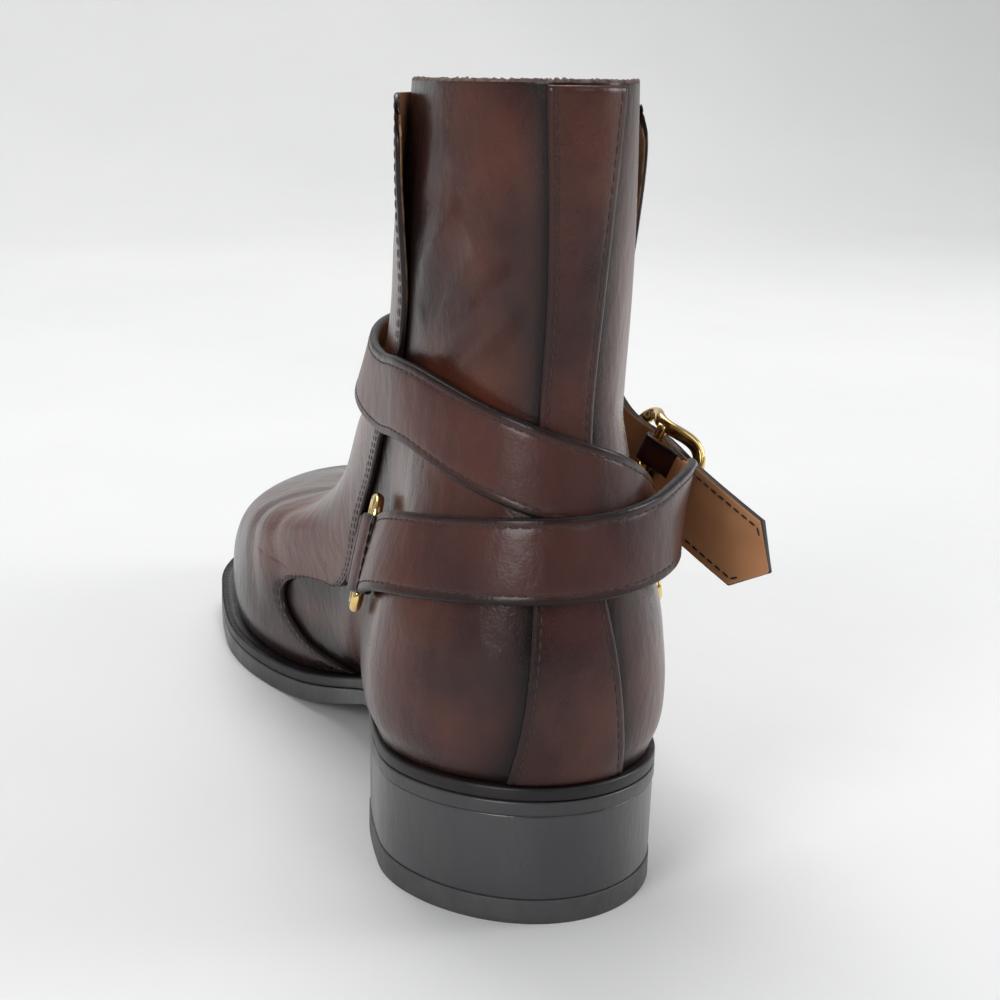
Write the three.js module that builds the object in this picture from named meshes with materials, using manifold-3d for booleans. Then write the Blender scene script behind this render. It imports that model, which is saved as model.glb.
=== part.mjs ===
// Jodhpur boot, right foot, about size EU 43, as an assembly of separate pieces. Lengths in millimetres.
// +Y runs from heel to toe, +X to the outer side of the foot, +Z up. The floor is Z = 0 and the
// origin is the middle of the flat face under the heel.
import * as THREE from 'three';
import { mergeVertices } from 'three/addons/utils/BufferGeometryUtils.js';
import Module from 'manifold-3d';

const wasm = await Module();
wasm.setup();

// Sole
const SOLE_LENGTH = 304;
const HEEL_WIDTH = 71;
const WAIST_WIDTH = 65;
const BALL_WIDTH = 104;
const TOE_WIDTH = 61;
const OUTSOLE_AT_HEEL = 3.5;
const OUTSOLE_AT_BALL = 5.5;
const WELT_THICKNESS = 3.2;
const WELT_LEDGE = 4.6;
const WELT_WIDTH = 10;
const RAND_WIDTH = 4.2;
const TREAD_BACK = 182;
const TREAD_LENGTH = 18;
const TOE_SPRING = 10;
const INSOLE_RISE = 1.5;
const INSOLE_CLEARANCE = 0.8;

// Heel
const HEEL_LENGTH = 72;
const SEAT_HEIGHT = 31;
const SEAT_PITCH = 3;
const TOP_LIFT = 6;
const HEEL_TAPER = 0.7;
const BREAST_HOLLOW = 2.5;

// Upper
const WALL = 1.8;
const COUNTER_HEIGHT = 51;
const ANKLE_HEIGHT = 130;
const COLLAR_BACK_HEIGHT = 198;
const TOE_BOX_HEIGHT = 42;
const THROAT_HEIGHT = 126;
const COLLAR_FRONT_HEIGHT = 190;
const THROAT_REACH = 121;
const COLLAR_FRONT_REACH = 109;
const SHAFT_WIDTH = 57;
const SHAFT_SHIFT = -0.2;
const LEG_AXIS = 62;

// Pieces laid on the upper
const OVERLAY = 1.5;
const FLAP_FLARE = 4;
const FLARE_DEPTH = 13;
const FLAP_TOP = 0.985;
const BACK_STRIP_WIDTH = 20;

// Straps
const STRAP_WIDTH = 20;
const STRAP_THICKNESS = 2.4;
const STRAP_POINT = 9;
const TIP_LENGTH = 36;
const TIP_SAG = 0.6;
const PLY = 1.3;
const FOLD_TAIL = 9;

// Rings and buckle
const WIRE = 3;
const WIRE_PLAY = 0.2;
const RING_HEIGHT = 31;
const RING_WIDTH = 14;
const RING_CORNER = 3.4;
const RING_STAND = 3.6;
const EAR_MARGIN = 1;
const EAR_FOLD = 8;
const EAR_LANDING = 11.2;
const EAR_TAIL = 5;
const EAR_LENGTH = 60;
const BUCKLE_HEIGHT = 31;
const BUCKLE_LENGTH = 29;
const BUCKLE_RISE = 6;
const BUCKLE_BAND = 3.6;
const BUCKLE_PLATE = 2.4;
const BUCKLE_STAND = 10.4;
const PRONG = 2.2;
const PRONG_SLOT = 5;
const PRONG_HOLE = 5;

// Clearance between curved pieces, and under what is laid on the upper
const GAP = 0.3;
const LAID = 0.4;

/** Gives every row of a table its column names. */
function table(columns, rows) {
  return rows.map((row) => Object.fromEntries(columns.map((name, column) => [name, row[column]])));
}

// Plan of the sole: half widths on both sides as shares of the named width that each row follows.
const OUTLINE = table(['along', 'width', 'medial', 'lateral'], [
  [0.00, HEEL_WIDTH, 0.479, 0.465],
  [0.06, HEEL_WIDTH, 0.493, 0.475],
  [0.12, HEEL_WIDTH, 0.500, 0.479],
  [0.20, HEEL_WIDTH, 0.479, 0.486],
  [0.30, WAIST_WIDTH, 0.446, 0.554],
  [0.38, WAIST_WIDTH, 0.408, 0.592],
  [0.46, WAIST_WIDTH, 0.438, 0.662],
  [0.55, BALL_WIDTH, 0.365, 0.466],
  [0.64, BALL_WIDTH, 0.457, 0.505],
  [0.71, BALL_WIDTH, 0.490, 0.510],
  [0.78, BALL_WIDTH, 0.488, 0.479],
  [0.86, TOE_WIDTH, 0.795, 0.700],
  [0.93, TOE_WIDTH, 0.745, 0.545],
  [1.00, TOE_WIDTH, 0.700, 0.400],
]);
const SOLE_ROUND = { back: 0.14, front: 0.15 };

// Rings of the upper from its bottom edge to the collar. rise and climb count from mark to mark up the
// back and up the front, reach from the toe to the throat to the collar. The half widths are shares of
// the foot's or the shaft's width, mixed by follow, which also gives how far the ring keeps to the
// sole's bent centre line. keep is the share of the sole's own outline, drape that of its rocker.
const RINGS = table(
  ['back', 'rise', 'reach', 'climb', 'drape', 'follow', 'keep', 'heel', 'waist', 'ball', 'tail', 'nose'],
  [
    [0.035, 0.00, 0.025, 0.00, 1.00, 1.00, 1.0, 0.500, 0.500, 0.450, 0.14, 0.16],
    [0.014, 0.40, 0.008, 0.24, 0.95, 1.00, 0.3, 0.530, 0.531, 0.459, 0.15, 0.17],
    [0.000, 1.00, 0.022, 0.62, 0.75, 0.95, 0.2, 0.549, 0.553, 0.464, 0.16, 0.18],
    [0.007, 1.14, 0.130, 1.03, 0.50, 0.85, 0.1, 0.537, 0.530, 0.468, 0.17, 0.21],
    [0.028, 1.27, 0.300, 1.11, 0.35, 0.70, 0.0, 0.529, 0.507, 0.456, 0.19, 0.26],
    [0.056, 1.41, 0.490, 1.17, 0.20, 0.50, 0.0, 0.513, 0.492, 0.420, 0.22, 0.36],
    [0.090, 1.57, 0.655, 1.34, 0.10, 0.30, 0.0, 0.480, 0.485, 0.415, 0.26, 0.42],
    [0.118, 1.75, 0.785, 1.60, 0.05, 0.12, 0.0, 0.445, 0.488, 0.452, 0.30, 0.46],
    [0.136, 1.92, 0.905, 1.82, 0.00, 0.00, 0.0, 0.420, 0.470, 0.450, 0.33, 0.48],
    [0.139, 2.13, 1.050, 2.06, 0.00, 0.00, 0.0, 0.408, 0.468, 0.440, 0.35, 0.46],
    [0.132, 2.41, 1.480, 2.37, 0.00, 0.00, 0.0, 0.405, 0.468, 0.435, 0.35, 0.43],
    [0.118, 2.71, 1.800, 2.69, 0.00, 0.00, 0.0, 0.400, 0.453, 0.425, 0.36, 0.41],
    [0.111, 3.00, 2.000, 3.00, 0.00, 0.00, 0.0, 0.390, 0.436, 0.415, 0.36, 0.40],
  ],
);

// Free rear edge of the front flap, from the collar down, as shares of the throat's reach and of the
// collar's height, and the notch under it, as shares of the sole's length and of the counter's height.
const FLAP_EDGE = table(['along', 'up'], [
  [0.620, 1.010],
  [0.520, 0.975],
  [0.465, 0.940],
  [0.446, 0.900],
  [0.450, 0.820],
  [0.463, 0.720],
  [0.500, 0.640],
  [0.565, 0.580],
  [0.650, 0.520],
  [0.760, 0.450],
  [0.865, 0.384],
  [1.000, 0.278],
]);
const NOTCH_EDGE = table(['along', 'up'], [
  [0.437, 0.900],
  [0.467, 0.875],
  [0.500, 0.845],
  [0.540, 0.775],
  [0.568, 0.690],
  [0.577, 0.600],
  [0.568, 0.500],
  [0.537, 0.405],
  [0.490, 0.350],
  [0.440, 0.300],
]);

// Edges of the strip over the back seam, at shares of the collar's height, as shares of its named width.
const BACK_STRIP = table(['up', 'medial', 'lateral'], [
  [0.14, -0.66, 0.90],
  [0.23, -0.50, 0.82],
  [0.32, -0.40, 0.70],
  [0.45, -0.33, 0.44],
  [0.58, -0.29, 0.36],
  [0.75, -0.23, 0.47],
  [1.00, -0.33, 0.66],
]);

// Middle lines of the straps: turn round the leg in degrees, 0 behind and 90 on the lateral side,
// height as a share of the ankle's height, how far the strap stands off what it lies on, and how far
// it has turned from the skin's slope to the buckle's.
const STRAP_LINE = table(['turn', 'up', 'off', 'free'], [
  [-80, 0.581, 0.4, 0],
  [-67, 0.605, 0.3, 0],
  [-52, 0.630, 0.2, 0],
  [-32, 0.656, 0.4, 0],
  [-16, 0.675, 1.8, 0],
  [-3, 0.685, 3.0, 0],
  [12, 0.690, 3.3, 0.1],
  [32, 0.692, 4.6, 0.25],
  [50, 0.690, 6.7, 0.60],
  [70, 0.683, 8.8, 0.90],
]);
const WRAP_LINE = table(['turn', 'up', 'off', 'free'], [
  [76, 0.605, 0.4, 0],
  [55, 0.650, 0.0, 0],
  [30, 0.720, 0.0, 0],
  [5, 0.808, 0.0, 0],
  [-20, 0.872, 0.0, 0],
  [-45, 0.902, 0.2, 0],
  [-70, 0.904, 0.5, 0],
  [-95, 0.893, 0.8, 0],
  [-125, 0.893, 1.6, 0],
  [-155, 0.895, 1.4, 0],
  [-180, 0.878, 0.8, 0],
  [-194, 0.850, 1.2, 0],
  [-207, 0.805, 7.8, 0.2],
]);
const MEDIAL_RING = { turn: -106, up: 0.556, tilt: 13 };
const LATERAL_RING = { turn: 95, up: 0.563, tilt: 27 };

// The buckle: where its bar stands, and the way that the wrap strap leaves it, backwards, outwards and down.
const BUCKLE = { turn: 118, up: 0.695, swing: 27, drop: 21, lean: 12 };

const { lerp, clamp } = THREE.MathUtils;
const vector = (x, y, z) => new THREE.Vector3(x, y, z);

/** Smooth curve through points: cubic pieces whose slope at a point is the mean of its two chords. */
function curveThrough(xs, ys) {
  const last = xs.length - 1;
  const chord = (i) => (ys[i + 1] - ys[i]) / (xs[i + 1] - xs[i]);
  const slopes = xs.map((_, i) => {
    if (i === 0) return chord(0);
    return i === last ? chord(last - 1) : (chord(i - 1) + chord(i)) / 2;
  });
  return (x) => {
    let i = 0;
    while (i < last - 1 && x > xs[i + 1]) i += 1;
    const span = xs[i + 1] - xs[i];
    const s = clamp((x - xs[i]) / span, 0, 1);
    const rise = s * s * (3 - 2 * s);
    return ys[i] + (ys[i + 1] - ys[i]) * rise
      + span * s * (1 - s) * (slopes[i] * (1 - s) - slopes[i + 1] * s);
  };
}

/** Straight-line reading of a height or place between marks: 0 is the first mark, 1 the second. */
function between(marks, count) {
  const i = clamp(Math.floor(count), 0, marks.length - 2);
  return lerp(marks[i], marks[i + 1], count - i);
}

/** Rounds the end of an outline: 0 at the end itself, 1 from `length` on, as a quarter ellipse. */
function roundEnd(distance, length) {
  const left = 1 - Math.min(1, Math.max(0, distance) / length);
  return Math.sqrt(1 - left * left);
}

/** Soft step from 0 to 1 between two values. */
function step(x, from, to) {
  const s = clamp((x - from) / (to - from), 0, 1);
  return s * s * (3 - 2 * s);
}

// The sole's plan and its heights

const outlineAt = OUTLINE.map((row) => row.along);
const medialHalf = curveThrough(outlineAt, OUTLINE.map((row) => row.medial * row.width));
const lateralHalf = curveThrough(outlineAt, OUTLINE.map((row) => row.lateral * row.width));
const soleHalf = (share) => (medialHalf(share) + lateralHalf(share)) / 2;
const soleCentre = (share) => (lateralHalf(share) - medialHalf(share)) / 2;

/** Share of the length at an angle round the sole: 0 is the back of the heel, PI the tip of the toe. */
const shareAt = (angle) => (1 - Math.cos(angle)) / 2;

/** Edge of the sole in plan. Positive angles below PI lie on the lateral side. */
function soleEdge(angle, inset = 0) {
  const place = (a) => {
    const share = shareAt(a);
    const round = roundEnd(share, SOLE_ROUND.back) * roundEnd(1 - share, SOLE_ROUND.front);
    const half = Math.sin(a) >= 0 ? lateralHalf(share) : -medialHalf(share);
    return new THREE.Vector2(half * round, share * SOLE_LENGTH);
  };
  const nudge = 0.01;
  const tangent = place(angle + nudge).sub(place(angle - nudge)).normalize();
  return place(angle).add(new THREE.Vector2(-tangent.y, tangent.x).multiplyScalar(inset));
}

/** Underside of the outsole: the pitched heel seat, the arch, the flat tread and the toe spring. */
function outsoleBottom(y) {
  const breast = SEAT_HEIGHT - OUTSOLE_AT_HEEL - SEAT_PITCH;
  const treadFront = TREAD_BACK + TREAD_LENGTH;
  if (y < HEEL_LENGTH) return breast + SEAT_PITCH * (1 - y / HEEL_LENGTH);
  if (y < TREAD_BACK) {
    const along = (y - HEEL_LENGTH) / (TREAD_BACK - HEEL_LENGTH);
    return breast * (1 + Math.cos(Math.PI * along)) / 2;
  }
  return y < treadFront ? 0 : TOE_SPRING * ((y - treadFront) / (SOLE_LENGTH - treadFront)) ** 2;
}

const outsoleTop = (y) => outsoleBottom(y)
  + lerp(OUTSOLE_AT_HEEL, OUTSOLE_AT_BALL, step(y, HEEL_LENGTH, TREAD_BACK));
const weltTop = (y) => outsoleTop(y) + GAP + WELT_THICKNESS;
const featherLine = (y) => weltTop(y) + GAP;

/** How far the upper stands in from the sole's edge: close over the heel, a ledge along the welt. */
const featherInset = (share) => lerp(1, WELT_LEDGE + GAP + OVERLAY, step(share, 0.26, 0.5));

// The upper's outside

const MARKS = {
  rise: [featherLine(0), COUNTER_HEIGHT, ANKLE_HEIGHT, COLLAR_BACK_HEIGHT],
  climb: [featherLine(SOLE_LENGTH), TOE_BOX_HEIGHT, THROAT_HEIGHT, COLLAR_FRONT_HEIGHT],
  reach: [SOLE_LENGTH, THROAT_REACH, COLLAR_FRONT_REACH],
  back: [0, HEEL_LENGTH],
};
const ringLevels = RINGS.map((_, i) => i / (RINGS.length - 1));

/** Curve up the upper through one column of the ring table, read against its marks where it has them. */
function ringCurve(column) {
  const read = (value) => (MARKS[column] ? between(MARKS[column], value) : value);
  return curveThrough(ringLevels, RINGS.map((row) => read(row[column])));
}

const RING = Object.fromEntries(Object.keys(RINGS[0]).map((column) => [column, ringCurve(column)]));
const WIDTH_SHARES = [0, 0.14, 0.42, 0.7, 1];
const widthWeights = WIDTH_SHARES.map((own) => (
  curveThrough(WIDTH_SHARES, WIDTH_SHARES.map((share) => Number(share === own)))
));
const FRONT_TAPER = { foot: 0.66, shaft: 0.85 };

/** Point on the upper's outside. angle runs round the boot as on the sole, level from 0 to 1 up it. */
function upperPoint(angle, level) {
  const share = shareAt(angle);
  const follow = RING.follow(level);
  const foot = (width) => lerp(SHAFT_WIDTH, width, follow);
  const heel = RING.heel(level) * foot(HEEL_WIDTH);
  const waist = RING.waist(level) * foot(WAIST_WIDTH);
  const ball = RING.ball(level) * foot(BALL_WIDTH);
  const halves = [heel, heel, waist, ball, ball * lerp(FRONT_TAPER.shaft, FRONT_TAPER.foot, follow)];
  const own = halves.reduce((sum, half, i) => sum + half * widthWeights[i](share), 0);
  const half = lerp(own, soleHalf(share) - featherInset(share), RING.keep(level));
  const round = roundEnd(share, RING.tail(level)) * roundEnd(1 - share, RING.nose(level));
  const centre = lerp(SHAFT_SHIFT, soleCentre(share), follow) * roundEnd(1 - share, 0.5);
  const y = lerp(RING.back(level), RING.reach(level), share);
  const rocker = featherLine(y) - lerp(MARKS.rise[0], MARKS.climb[0], share);
  const z = lerp(RING.rise(level), RING.climb(level), share) + RING.drape(level) * rocker;
  return vector(centre + Math.sign(Math.sin(angle)) * half * round, y, z);
}

/** Point held off the upper's outside along its normal, which lies level at the bottom edge. */
function offUpper(angle, level, off) {
  const nudge = 0.004;
  const around = upperPoint(angle + nudge, level).sub(upperPoint(angle - nudge, level));
  const up = upperPoint(angle, Math.min(1, level + nudge)).sub(upperPoint(angle, Math.max(0, level - nudge)));
  const normal = around.cross(up);
  normal.z *= step(level, 0, 0.08) * (1 - step(level, 0.92, 1));
  return upperPoint(angle, level).addScaledVector(normal.normalize(), off);
}

/** Bisects a rising function for the place where it reaches a value. */
function solve(rising, value, from, to) {
  let low = from;
  let high = to;
  for (let turn = 0; turn < 26; turn += 1) {
    const middle = (low + high) / 2;
    if (rising(middle) < value) low = middle; else high = middle;
  }
  return (low + high) / 2;
}

/** Angle and level on the upper at a turn round the leg, in degrees, and a height. */
function skinPlace(turn, height) {
  const side = turn < 0 ? -1 : 1;
  const levelOf = (angle) => solve((level) => upperPoint(angle, level).z, height, 0, 1);
  const turnOf = (angle) => {
    const point = upperPoint(side * angle, levelOf(side * angle));
    return THREE.MathUtils.radToDeg(Math.atan2(side * point.x, LEG_AXIS - point.y));
  };
  const angle = side * solve(turnOf, Math.abs(turn), 0, Math.PI);
  return { angle, level: levelOf(angle) };
}

/** Point of the upper's outside at a turn round the leg and a height. */
function skin(turn, height) {
  const { angle, level } = skinPlace(turn, height);
  return upperPoint(angle, level);
}

// Meshes

/** Closed body through rows of points. Each row is a closed loop whose second half runs back along
 * its first, so that an end is closed like a ladder. Both halves are split along the same diagonals,
 * which keeps shells nested. `endless` joins the last row to the first. */
function bodyOf(rows, endless = false) {
  const loop = rows[0].length;
  const points = rows.flat();
  const faces = [];
  const quad = (a, b, c, d) => faces.push(a, b, c, a, c, d);
  rows.forEach((_, row) => {
    if (!endless && row === rows.length - 1) return;
    const next = (row + 1) % rows.length;
    for (let k = 0; k < loop; k += 1) {
      const l = (k + 1) % loop;
      const corners = [row * loop + k, row * loop + l, next * loop + l, next * loop + k];
      if (k >= loop / 2) corners.push(corners.shift());
      quad(...corners);
    }
  });
  if (!endless) {
    const end = (rows.length - 1) * loop;
    for (let k = 0; k < loop / 2 - 1; k += 1) {
      quad(k, loop - 1 - k, loop - 2 - k, k + 1);
      quad(end + k, end + k + 1, end + loop - 2 - k, end + loop - 1 - k);
    }
  }
  const geometry = new THREE.BufferGeometry();
  geometry.setAttribute('position', new THREE.Float32BufferAttribute(points.flatMap((p) => p.toArray()), 3));
  geometry.setIndex(faces);
  return facingOut(mergeVertices(geometry, 1e-4));
}

/** Turns a closed geometry's faces outwards, by the sign of the volume that they enclose. */
function facingOut(geometry) {
  const { position } = geometry.attributes;
  const index = Array.from(geometry.index.array);
  const corner = (i) => vector().fromBufferAttribute(position, index[i]);
  let volume = 0;
  for (let i = 0; i < index.length; i += 3) volume += corner(i).dot(corner(i + 1).cross(corner(i + 2)));
  geometry.setIndex(volume < 0 ? index.reverse() : index);
  return geometry;
}

/** Makes a closed geometry a solid that can be joined and cut. */
function solid(geometry) {
  const bare = geometry.clone();
  bare.deleteAttribute('normal');
  bare.deleteAttribute('uv');
  const merged = facingOut(mergeVertices(bare, 1e-4));
  return new wasm.Manifold(new wasm.Mesh({
    numProp: 3,
    vertProperties: new Float32Array(merged.attributes.position.array),
    triVerts: new Uint32Array(merged.index.array),
  }));
}

/** Makes a joined or cut solid a geometry again. */
function shapeOf(manifold) {
  const mesh = manifold.getMesh();
  const geometry = new THREE.BufferGeometry();
  geometry.setAttribute('position', new THREE.Float32BufferAttribute(mesh.vertProperties, 3));
  geometry.setIndex(Array.from(mesh.triVerts));
  return geometry;
}

const joined = (...parts) => shapeOf(parts.map(solid).reduce((whole, part) => whole.add(part)));
/** Largest of the bodies that a cut leaves. */
const largest = (manifold) => manifold.decompose().sort((a, b) => b.volume() - a.volume())[0];
const cut = (whole, ...tools) => shapeOf(largest(
  tools.map(solid).reduce((rest, tool) => rest.subtract(tool), solid(whole)),
));
const kept = (whole, tool) => shapeOf(solid(whole).intersect(solid(tool)));

/** Matrix that sets a shape drawn in X and Y, and extruded along Z, into a place. */
function placed(origin, xAxis, yAxis) {
  return new THREE.Matrix4()
    .makeBasis(xAxis, yAxis, xAxis.clone().cross(yAxis))
    .setPosition(origin);
}

/** Evenly spaced numbers from one value to another, both ends in. */
const spaced = (from, to, steps) => Array.from({ length: steps + 1 }, (_, i) => lerp(from, to, i / steps));

/** Body swept along a closed path: a flat or round section set across the path at every point. */
function closedSweep(points, outwards, section) {
  const rows = points.map((point, i) => {
    const ahead = points[(i + 1) % points.length];
    const behind = points[(i + points.length - 1) % points.length];
    const tangent = ahead.clone().sub(behind).normalize();
    const rise = outwards(i).clone();
    const across = tangent.clone().cross(rise).normalize();
    rise.crossVectors(across, tangent).normalize();
    return section.map(([a, b]) => point.clone().addScaledVector(across, a).addScaledVector(rise, b));
  });
  return bodyOf(rows, true);
}

/** Round section with its second half running back along the first. */
const circle = (radius, sides) => Array.from({ length: sides }, (_, i) => {
  const angle = ((i + 0.5) / sides) * 2 * Math.PI;
  return [radius * Math.cos(angle), radius * Math.sin(angle)];
});

// Sole pieces

const SOLE_STEPS = 44;

/** Flat piece under the foot, between two heights that change along the boot. */
function plate(inset, bottom, top, steps) {
  const angles = spaced(0, Math.PI, steps).slice(1, -1);
  return bodyOf(angles.map((angle) => {
    const right = soleEdge(angle, inset);
    const left = soleEdge(2 * Math.PI - angle, inset);
    const y = (right.y + left.y) / 2;
    return [
      vector(left.x, left.y, bottom(y)), vector(right.x, right.y, bottom(y)),
      vector(right.x, right.y, top(y)), vector(left.x, left.y, top(y)),
    ];
  }));
}

const outsole = () => plate(0, outsoleBottom, outsoleTop, SOLE_STEPS);

/** Inner edge of the welt and rand, as a distance in from the sole's edge. */
const weltInner = (share) => lerp(RAND_WIDTH, WELT_WIDTH, step(share, 0.24, 0.45));

/** Stretch of the ring between outsole and upper, from one angle to another. */
function weltStretch(from, to, steps) {
  return bodyOf(spaced(from, to, steps).map((angle) => {
    const outer = soleEdge(angle, 0);
    const inner = soleEdge(angle, weltInner(shareAt(angle)));
    return [
      vector(outer.x, outer.y, outsoleTop(outer.y) + GAP),
      vector(inner.x, inner.y, outsoleTop(inner.y) + GAP),
      vector(inner.x, inner.y, weltTop(inner.y)),
      vector(outer.x, outer.y, weltTop(outer.y)),
    ];
  }));
}

const breastAngle = Math.acos(1 - 2 * (HEEL_LENGTH / SOLE_LENGTH));
const weltJoint = GAP / SOLE_LENGTH / Math.sin(breastAngle) * 2;
const welt = () => weltStretch(breastAngle + weltJoint, 2 * Math.PI - breastAngle - weltJoint, 60);
const heelRand = () => weltStretch(-breastAngle, breastAngle, 28);

/** Insole inside the welt and the upper, from the outsole to a little above the welt. */
function insole() {
  const angles = spaced(0, Math.PI, SOLE_STEPS).slice(1, -1);
  return bodyOf(angles.map((angle) => {
    const inset = weltInner(shareAt(angle)) + INSOLE_CLEARANCE;
    const right = soleEdge(angle, inset);
    const left = soleEdge(2 * Math.PI - angle, inset);
    const y = (right.y + left.y) / 2;
    const bottom = outsoleTop(y) + GAP;
    const top = weltTop(y) + INSOLE_RISE;
    return [
      vector(left.x, y, bottom), vector(right.x, y, bottom), vector(right.x, y, top), vector(left.x, y, top),
    ];
  }));
}

/** Slice of the heel: the sole's outline up to the hollowed breast, one row for each share across. */
function heelSlab(layers) {
  const steps = 20;
  return bodyOf(spaced(-breastAngle, breastAngle, steps).map((angle, i) => {
    const across = (i / steps) * 2 - 1;
    const front = layers.map(({ height, inset }) => {
      const edge = soleEdge(breastAngle, inset);
      const y = edge.y - BREAST_HOLLOW * (1 - across * across);
      return vector(lerp(soleEdge(-breastAngle, inset).x, edge.x, i / steps), y, height(y));
    });
    const back = layers.map(({ height, inset }) => {
      const edge = soleEdge(angle, inset);
      return vector(edge.x, edge.y, height(edge.y));
    });
    return i === 0 || i === steps ? [...back, ...back.slice().reverse()] : [...back, ...front.reverse()];
  }));
}

const heelTop = (y) => outsoleBottom(y) - GAP;
const heelLayer = (share) => ({
  height: (y) => lerp(TOP_LIFT, heelTop(y), share),
  inset: HEEL_TAPER - (HEEL_TAPER - GAP) * share ** 0.7,
});
const heelStack = () => heelSlab([0, 0.25, 0.5, 0.75, 1].map(heelLayer));
const topLift = () => heelSlab([
  { height: () => 0, inset: HEEL_TAPER },
  { height: () => TOP_LIFT, inset: HEEL_TAPER },
]);

// Upper

const upperColumns = spaced(0, 2 * Math.PI, 54).slice(0, -1);
const upperLevels = spaced(0, 1, 14);

/** Shell round the boot between two distances off the upper's outside. */
function shell(outer, inner) {
  return bodyOf(upperColumns.map((angle) => [
    ...upperLevels.map((level) => offUpper(angle, level, outer)),
    ...upperLevels.slice().reverse().map((level) => offUpper(angle, level, inner)),
  ]), true);
}

/** Hollow upper: the outside and the inside a wall apart, open at the collar and underneath. */
const upper = () => shell(0, -WALL);

// Pieces laid on the upper

const FLAP_COLUMN = 10;
const FLAP_FOOT = 0.006;
const sideLine = (rows, length, height) => (
  rows.map(({ along, up }) => new THREE.Vector2(along * length, up * height))
);
const flapLine = sideLine(FLAP_EDGE, THROAT_REACH, COLLAR_BACK_HEIGHT);
const notchLine = sideLine(NOTCH_EDGE, SOLE_LENGTH, COUNTER_HEIGHT);
const rising = flapLine.slice().reverse();
const flapEdgeAt = curveThrough(rising.map((p) => p.y), rising.map((p) => p.x));

const FLARE_START = ANKLE_HEIGHT * 1.06;
const FLARE_FULL = COLLAR_BACK_HEIGHT * 0.93;

/** How far the flap's free edge curls off the shaft, most at its top corners. */
function flare(point) {
  const inside = Math.max(0, point.y - flapEdgeAt(point.z)) / FLARE_DEPTH;
  return FLAP_FLARE * step(point.z, FLARE_START, FLARE_FULL) * Math.exp(-inside * inside);
}

const FLAP_STEPS = 28;
const NOTCH_STEPS = 20;
const BLOCK_MARGIN = 1.1;

/** Block over the whole width with the front piece's side outline, moved back by `shift`. */
function frontBlock(shift = 0) {
  const halfSpan = BALL_WIDTH;
  const beyond = SOLE_LENGTH * BLOCK_MARGIN;
  const above = COLLAR_BACK_HEIGHT * BLOCK_MARGIN;
  const outline = [
    new THREE.Vector2(flapLine[0].x, above),
    ...new THREE.SplineCurve(flapLine).getPoints(FLAP_STEPS),
    ...new THREE.SplineCurve(notchLine).getPoints(NOTCH_STEPS),
    new THREE.Vector2(notchLine.at(-1).x, -above),
    new THREE.Vector2(beyond, -above),
    new THREE.Vector2(beyond, above),
  ];
  const span = { depth: 2 * halfSpan, bevelEnabled: false };
  const block = new THREE.ExtrudeGeometry(new THREE.Shape(outline), span);
  return block.applyMatrix4(placed(vector(-halfSpan, -shift, 0), vector(0, 1, 0), vector(0, 0, 1)));
}

/** Vamp and front flap in one: a skin laid over the upper and cut to its side outline. */
function frontPiece() {
  const levels = upperLevels.map((level) => clamp(level, FLAP_FOOT, FLAP_TOP));
  const off = (angle, level, depth) => offUpper(angle, level, LAID + depth + flare(upperPoint(angle, level)));
  const sheet = bodyOf(upperColumns.slice(FLAP_COLUMN, 1 - FLAP_COLUMN).map((angle) => [
    ...levels.map((level) => off(angle, level, OVERLAY)),
    ...levels.slice().reverse().map((level) => off(angle, level, 0)),
  ]));
  return kept(sheet, frontBlock());
}

/** Body laid on the upper: its rows are places on the skin, and its two faces stand off it. */
function laid(rows) {
  const row = (places, off) => places.map(({ angle, level }) => offUpper(angle, level, off));
  return bodyOf(rows.map((places) => [...row(places, LAID + OVERLAY), ...row(places, LAID).reverse()]));
}

/** Strip over the back seam from the collar to the rand, wider at the heel. */
function backStrip() {
  const heights = BACK_STRIP.map(({ up }) => up * COLLAR_BACK_HEIGHT);
  const edge = (side) => curveThrough(heights, BACK_STRIP.map((row) => row[side] * BACK_STRIP_WIDTH));
  const [medial, lateral] = [edge('medial'), edge('lateral')];
  return laid(spaced(0, 0.995, 18).map((level) => {
    const { z } = upperPoint(0, level);
    return spaced(medial(z), lateral(z), 4).map((x) => ({
      angle: solve((angle) => upperPoint(angle, level).x, x, -1.3, 1.3), level,
    }));
  }));
}

// Straps

const STRAP_SEAT = LAID + OVERLAY + LAID + STRAP_THICKNESS / 2;
const wrapTurn = (turn) => (turn < -180 ? turn + 360 : turn);

/** Directions on the upper's outside at a turn and a height: along the turn, up, and outwards, and the
 * place where something straight, as tall as twice the reach, would lie on it. */
function directionsAt(turn, height, reach) {
  const here = wrapTurn(turn);
  const low = skin(here, height - reach);
  const high = skin(here, height + reach);
  const along = skin(wrapTurn(here + 2), height).sub(skin(here - 2, height)).normalize();
  const up = high.clone().sub(low).normalize();
  const out = along.clone().cross(up).normalize();
  const surface = skin(here, height);
  const hollow = Math.max(0, low.add(high).multiplyScalar(0.5).sub(surface).dot(out));
  return { along, up, out, seat: surface.addScaledVector(out, hollow) };
}

/** Place and direction across for one row of a strap's middle line, clear of the upper all over. */
function strapRow({ turn, up, off, free }) {
  const directions = directionsAt(turn, up * ANKLE_HEIGHT, STRAP_WIDTH / 2);
  return {
    at: directions.seat.addScaledVector(directions.out, STRAP_SEAT + off),
    across: directions.up.lerp(buckle.across, free).normalize(),
  };
}

/** Path of a strap over the upper, read from its line's table at even turns. */
function skinPath(line, steps) {
  const turns = line.map(({ turn }) => turn);
  const way = Math.sign(turns.at(-1) - turns[0]);
  const column = (name) => curveThrough(turns.map((turn) => turn * way), line.map((row) => row[name]));
  const [up, off, free] = ['up', 'off', 'free'].map(column);
  return spaced(turns[0], turns.at(-1), steps).map((turn) => (
    strapRow({ turn, up: up(turn * way), off: off(turn * way), free: free(turn * way) })
  ));
}

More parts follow.
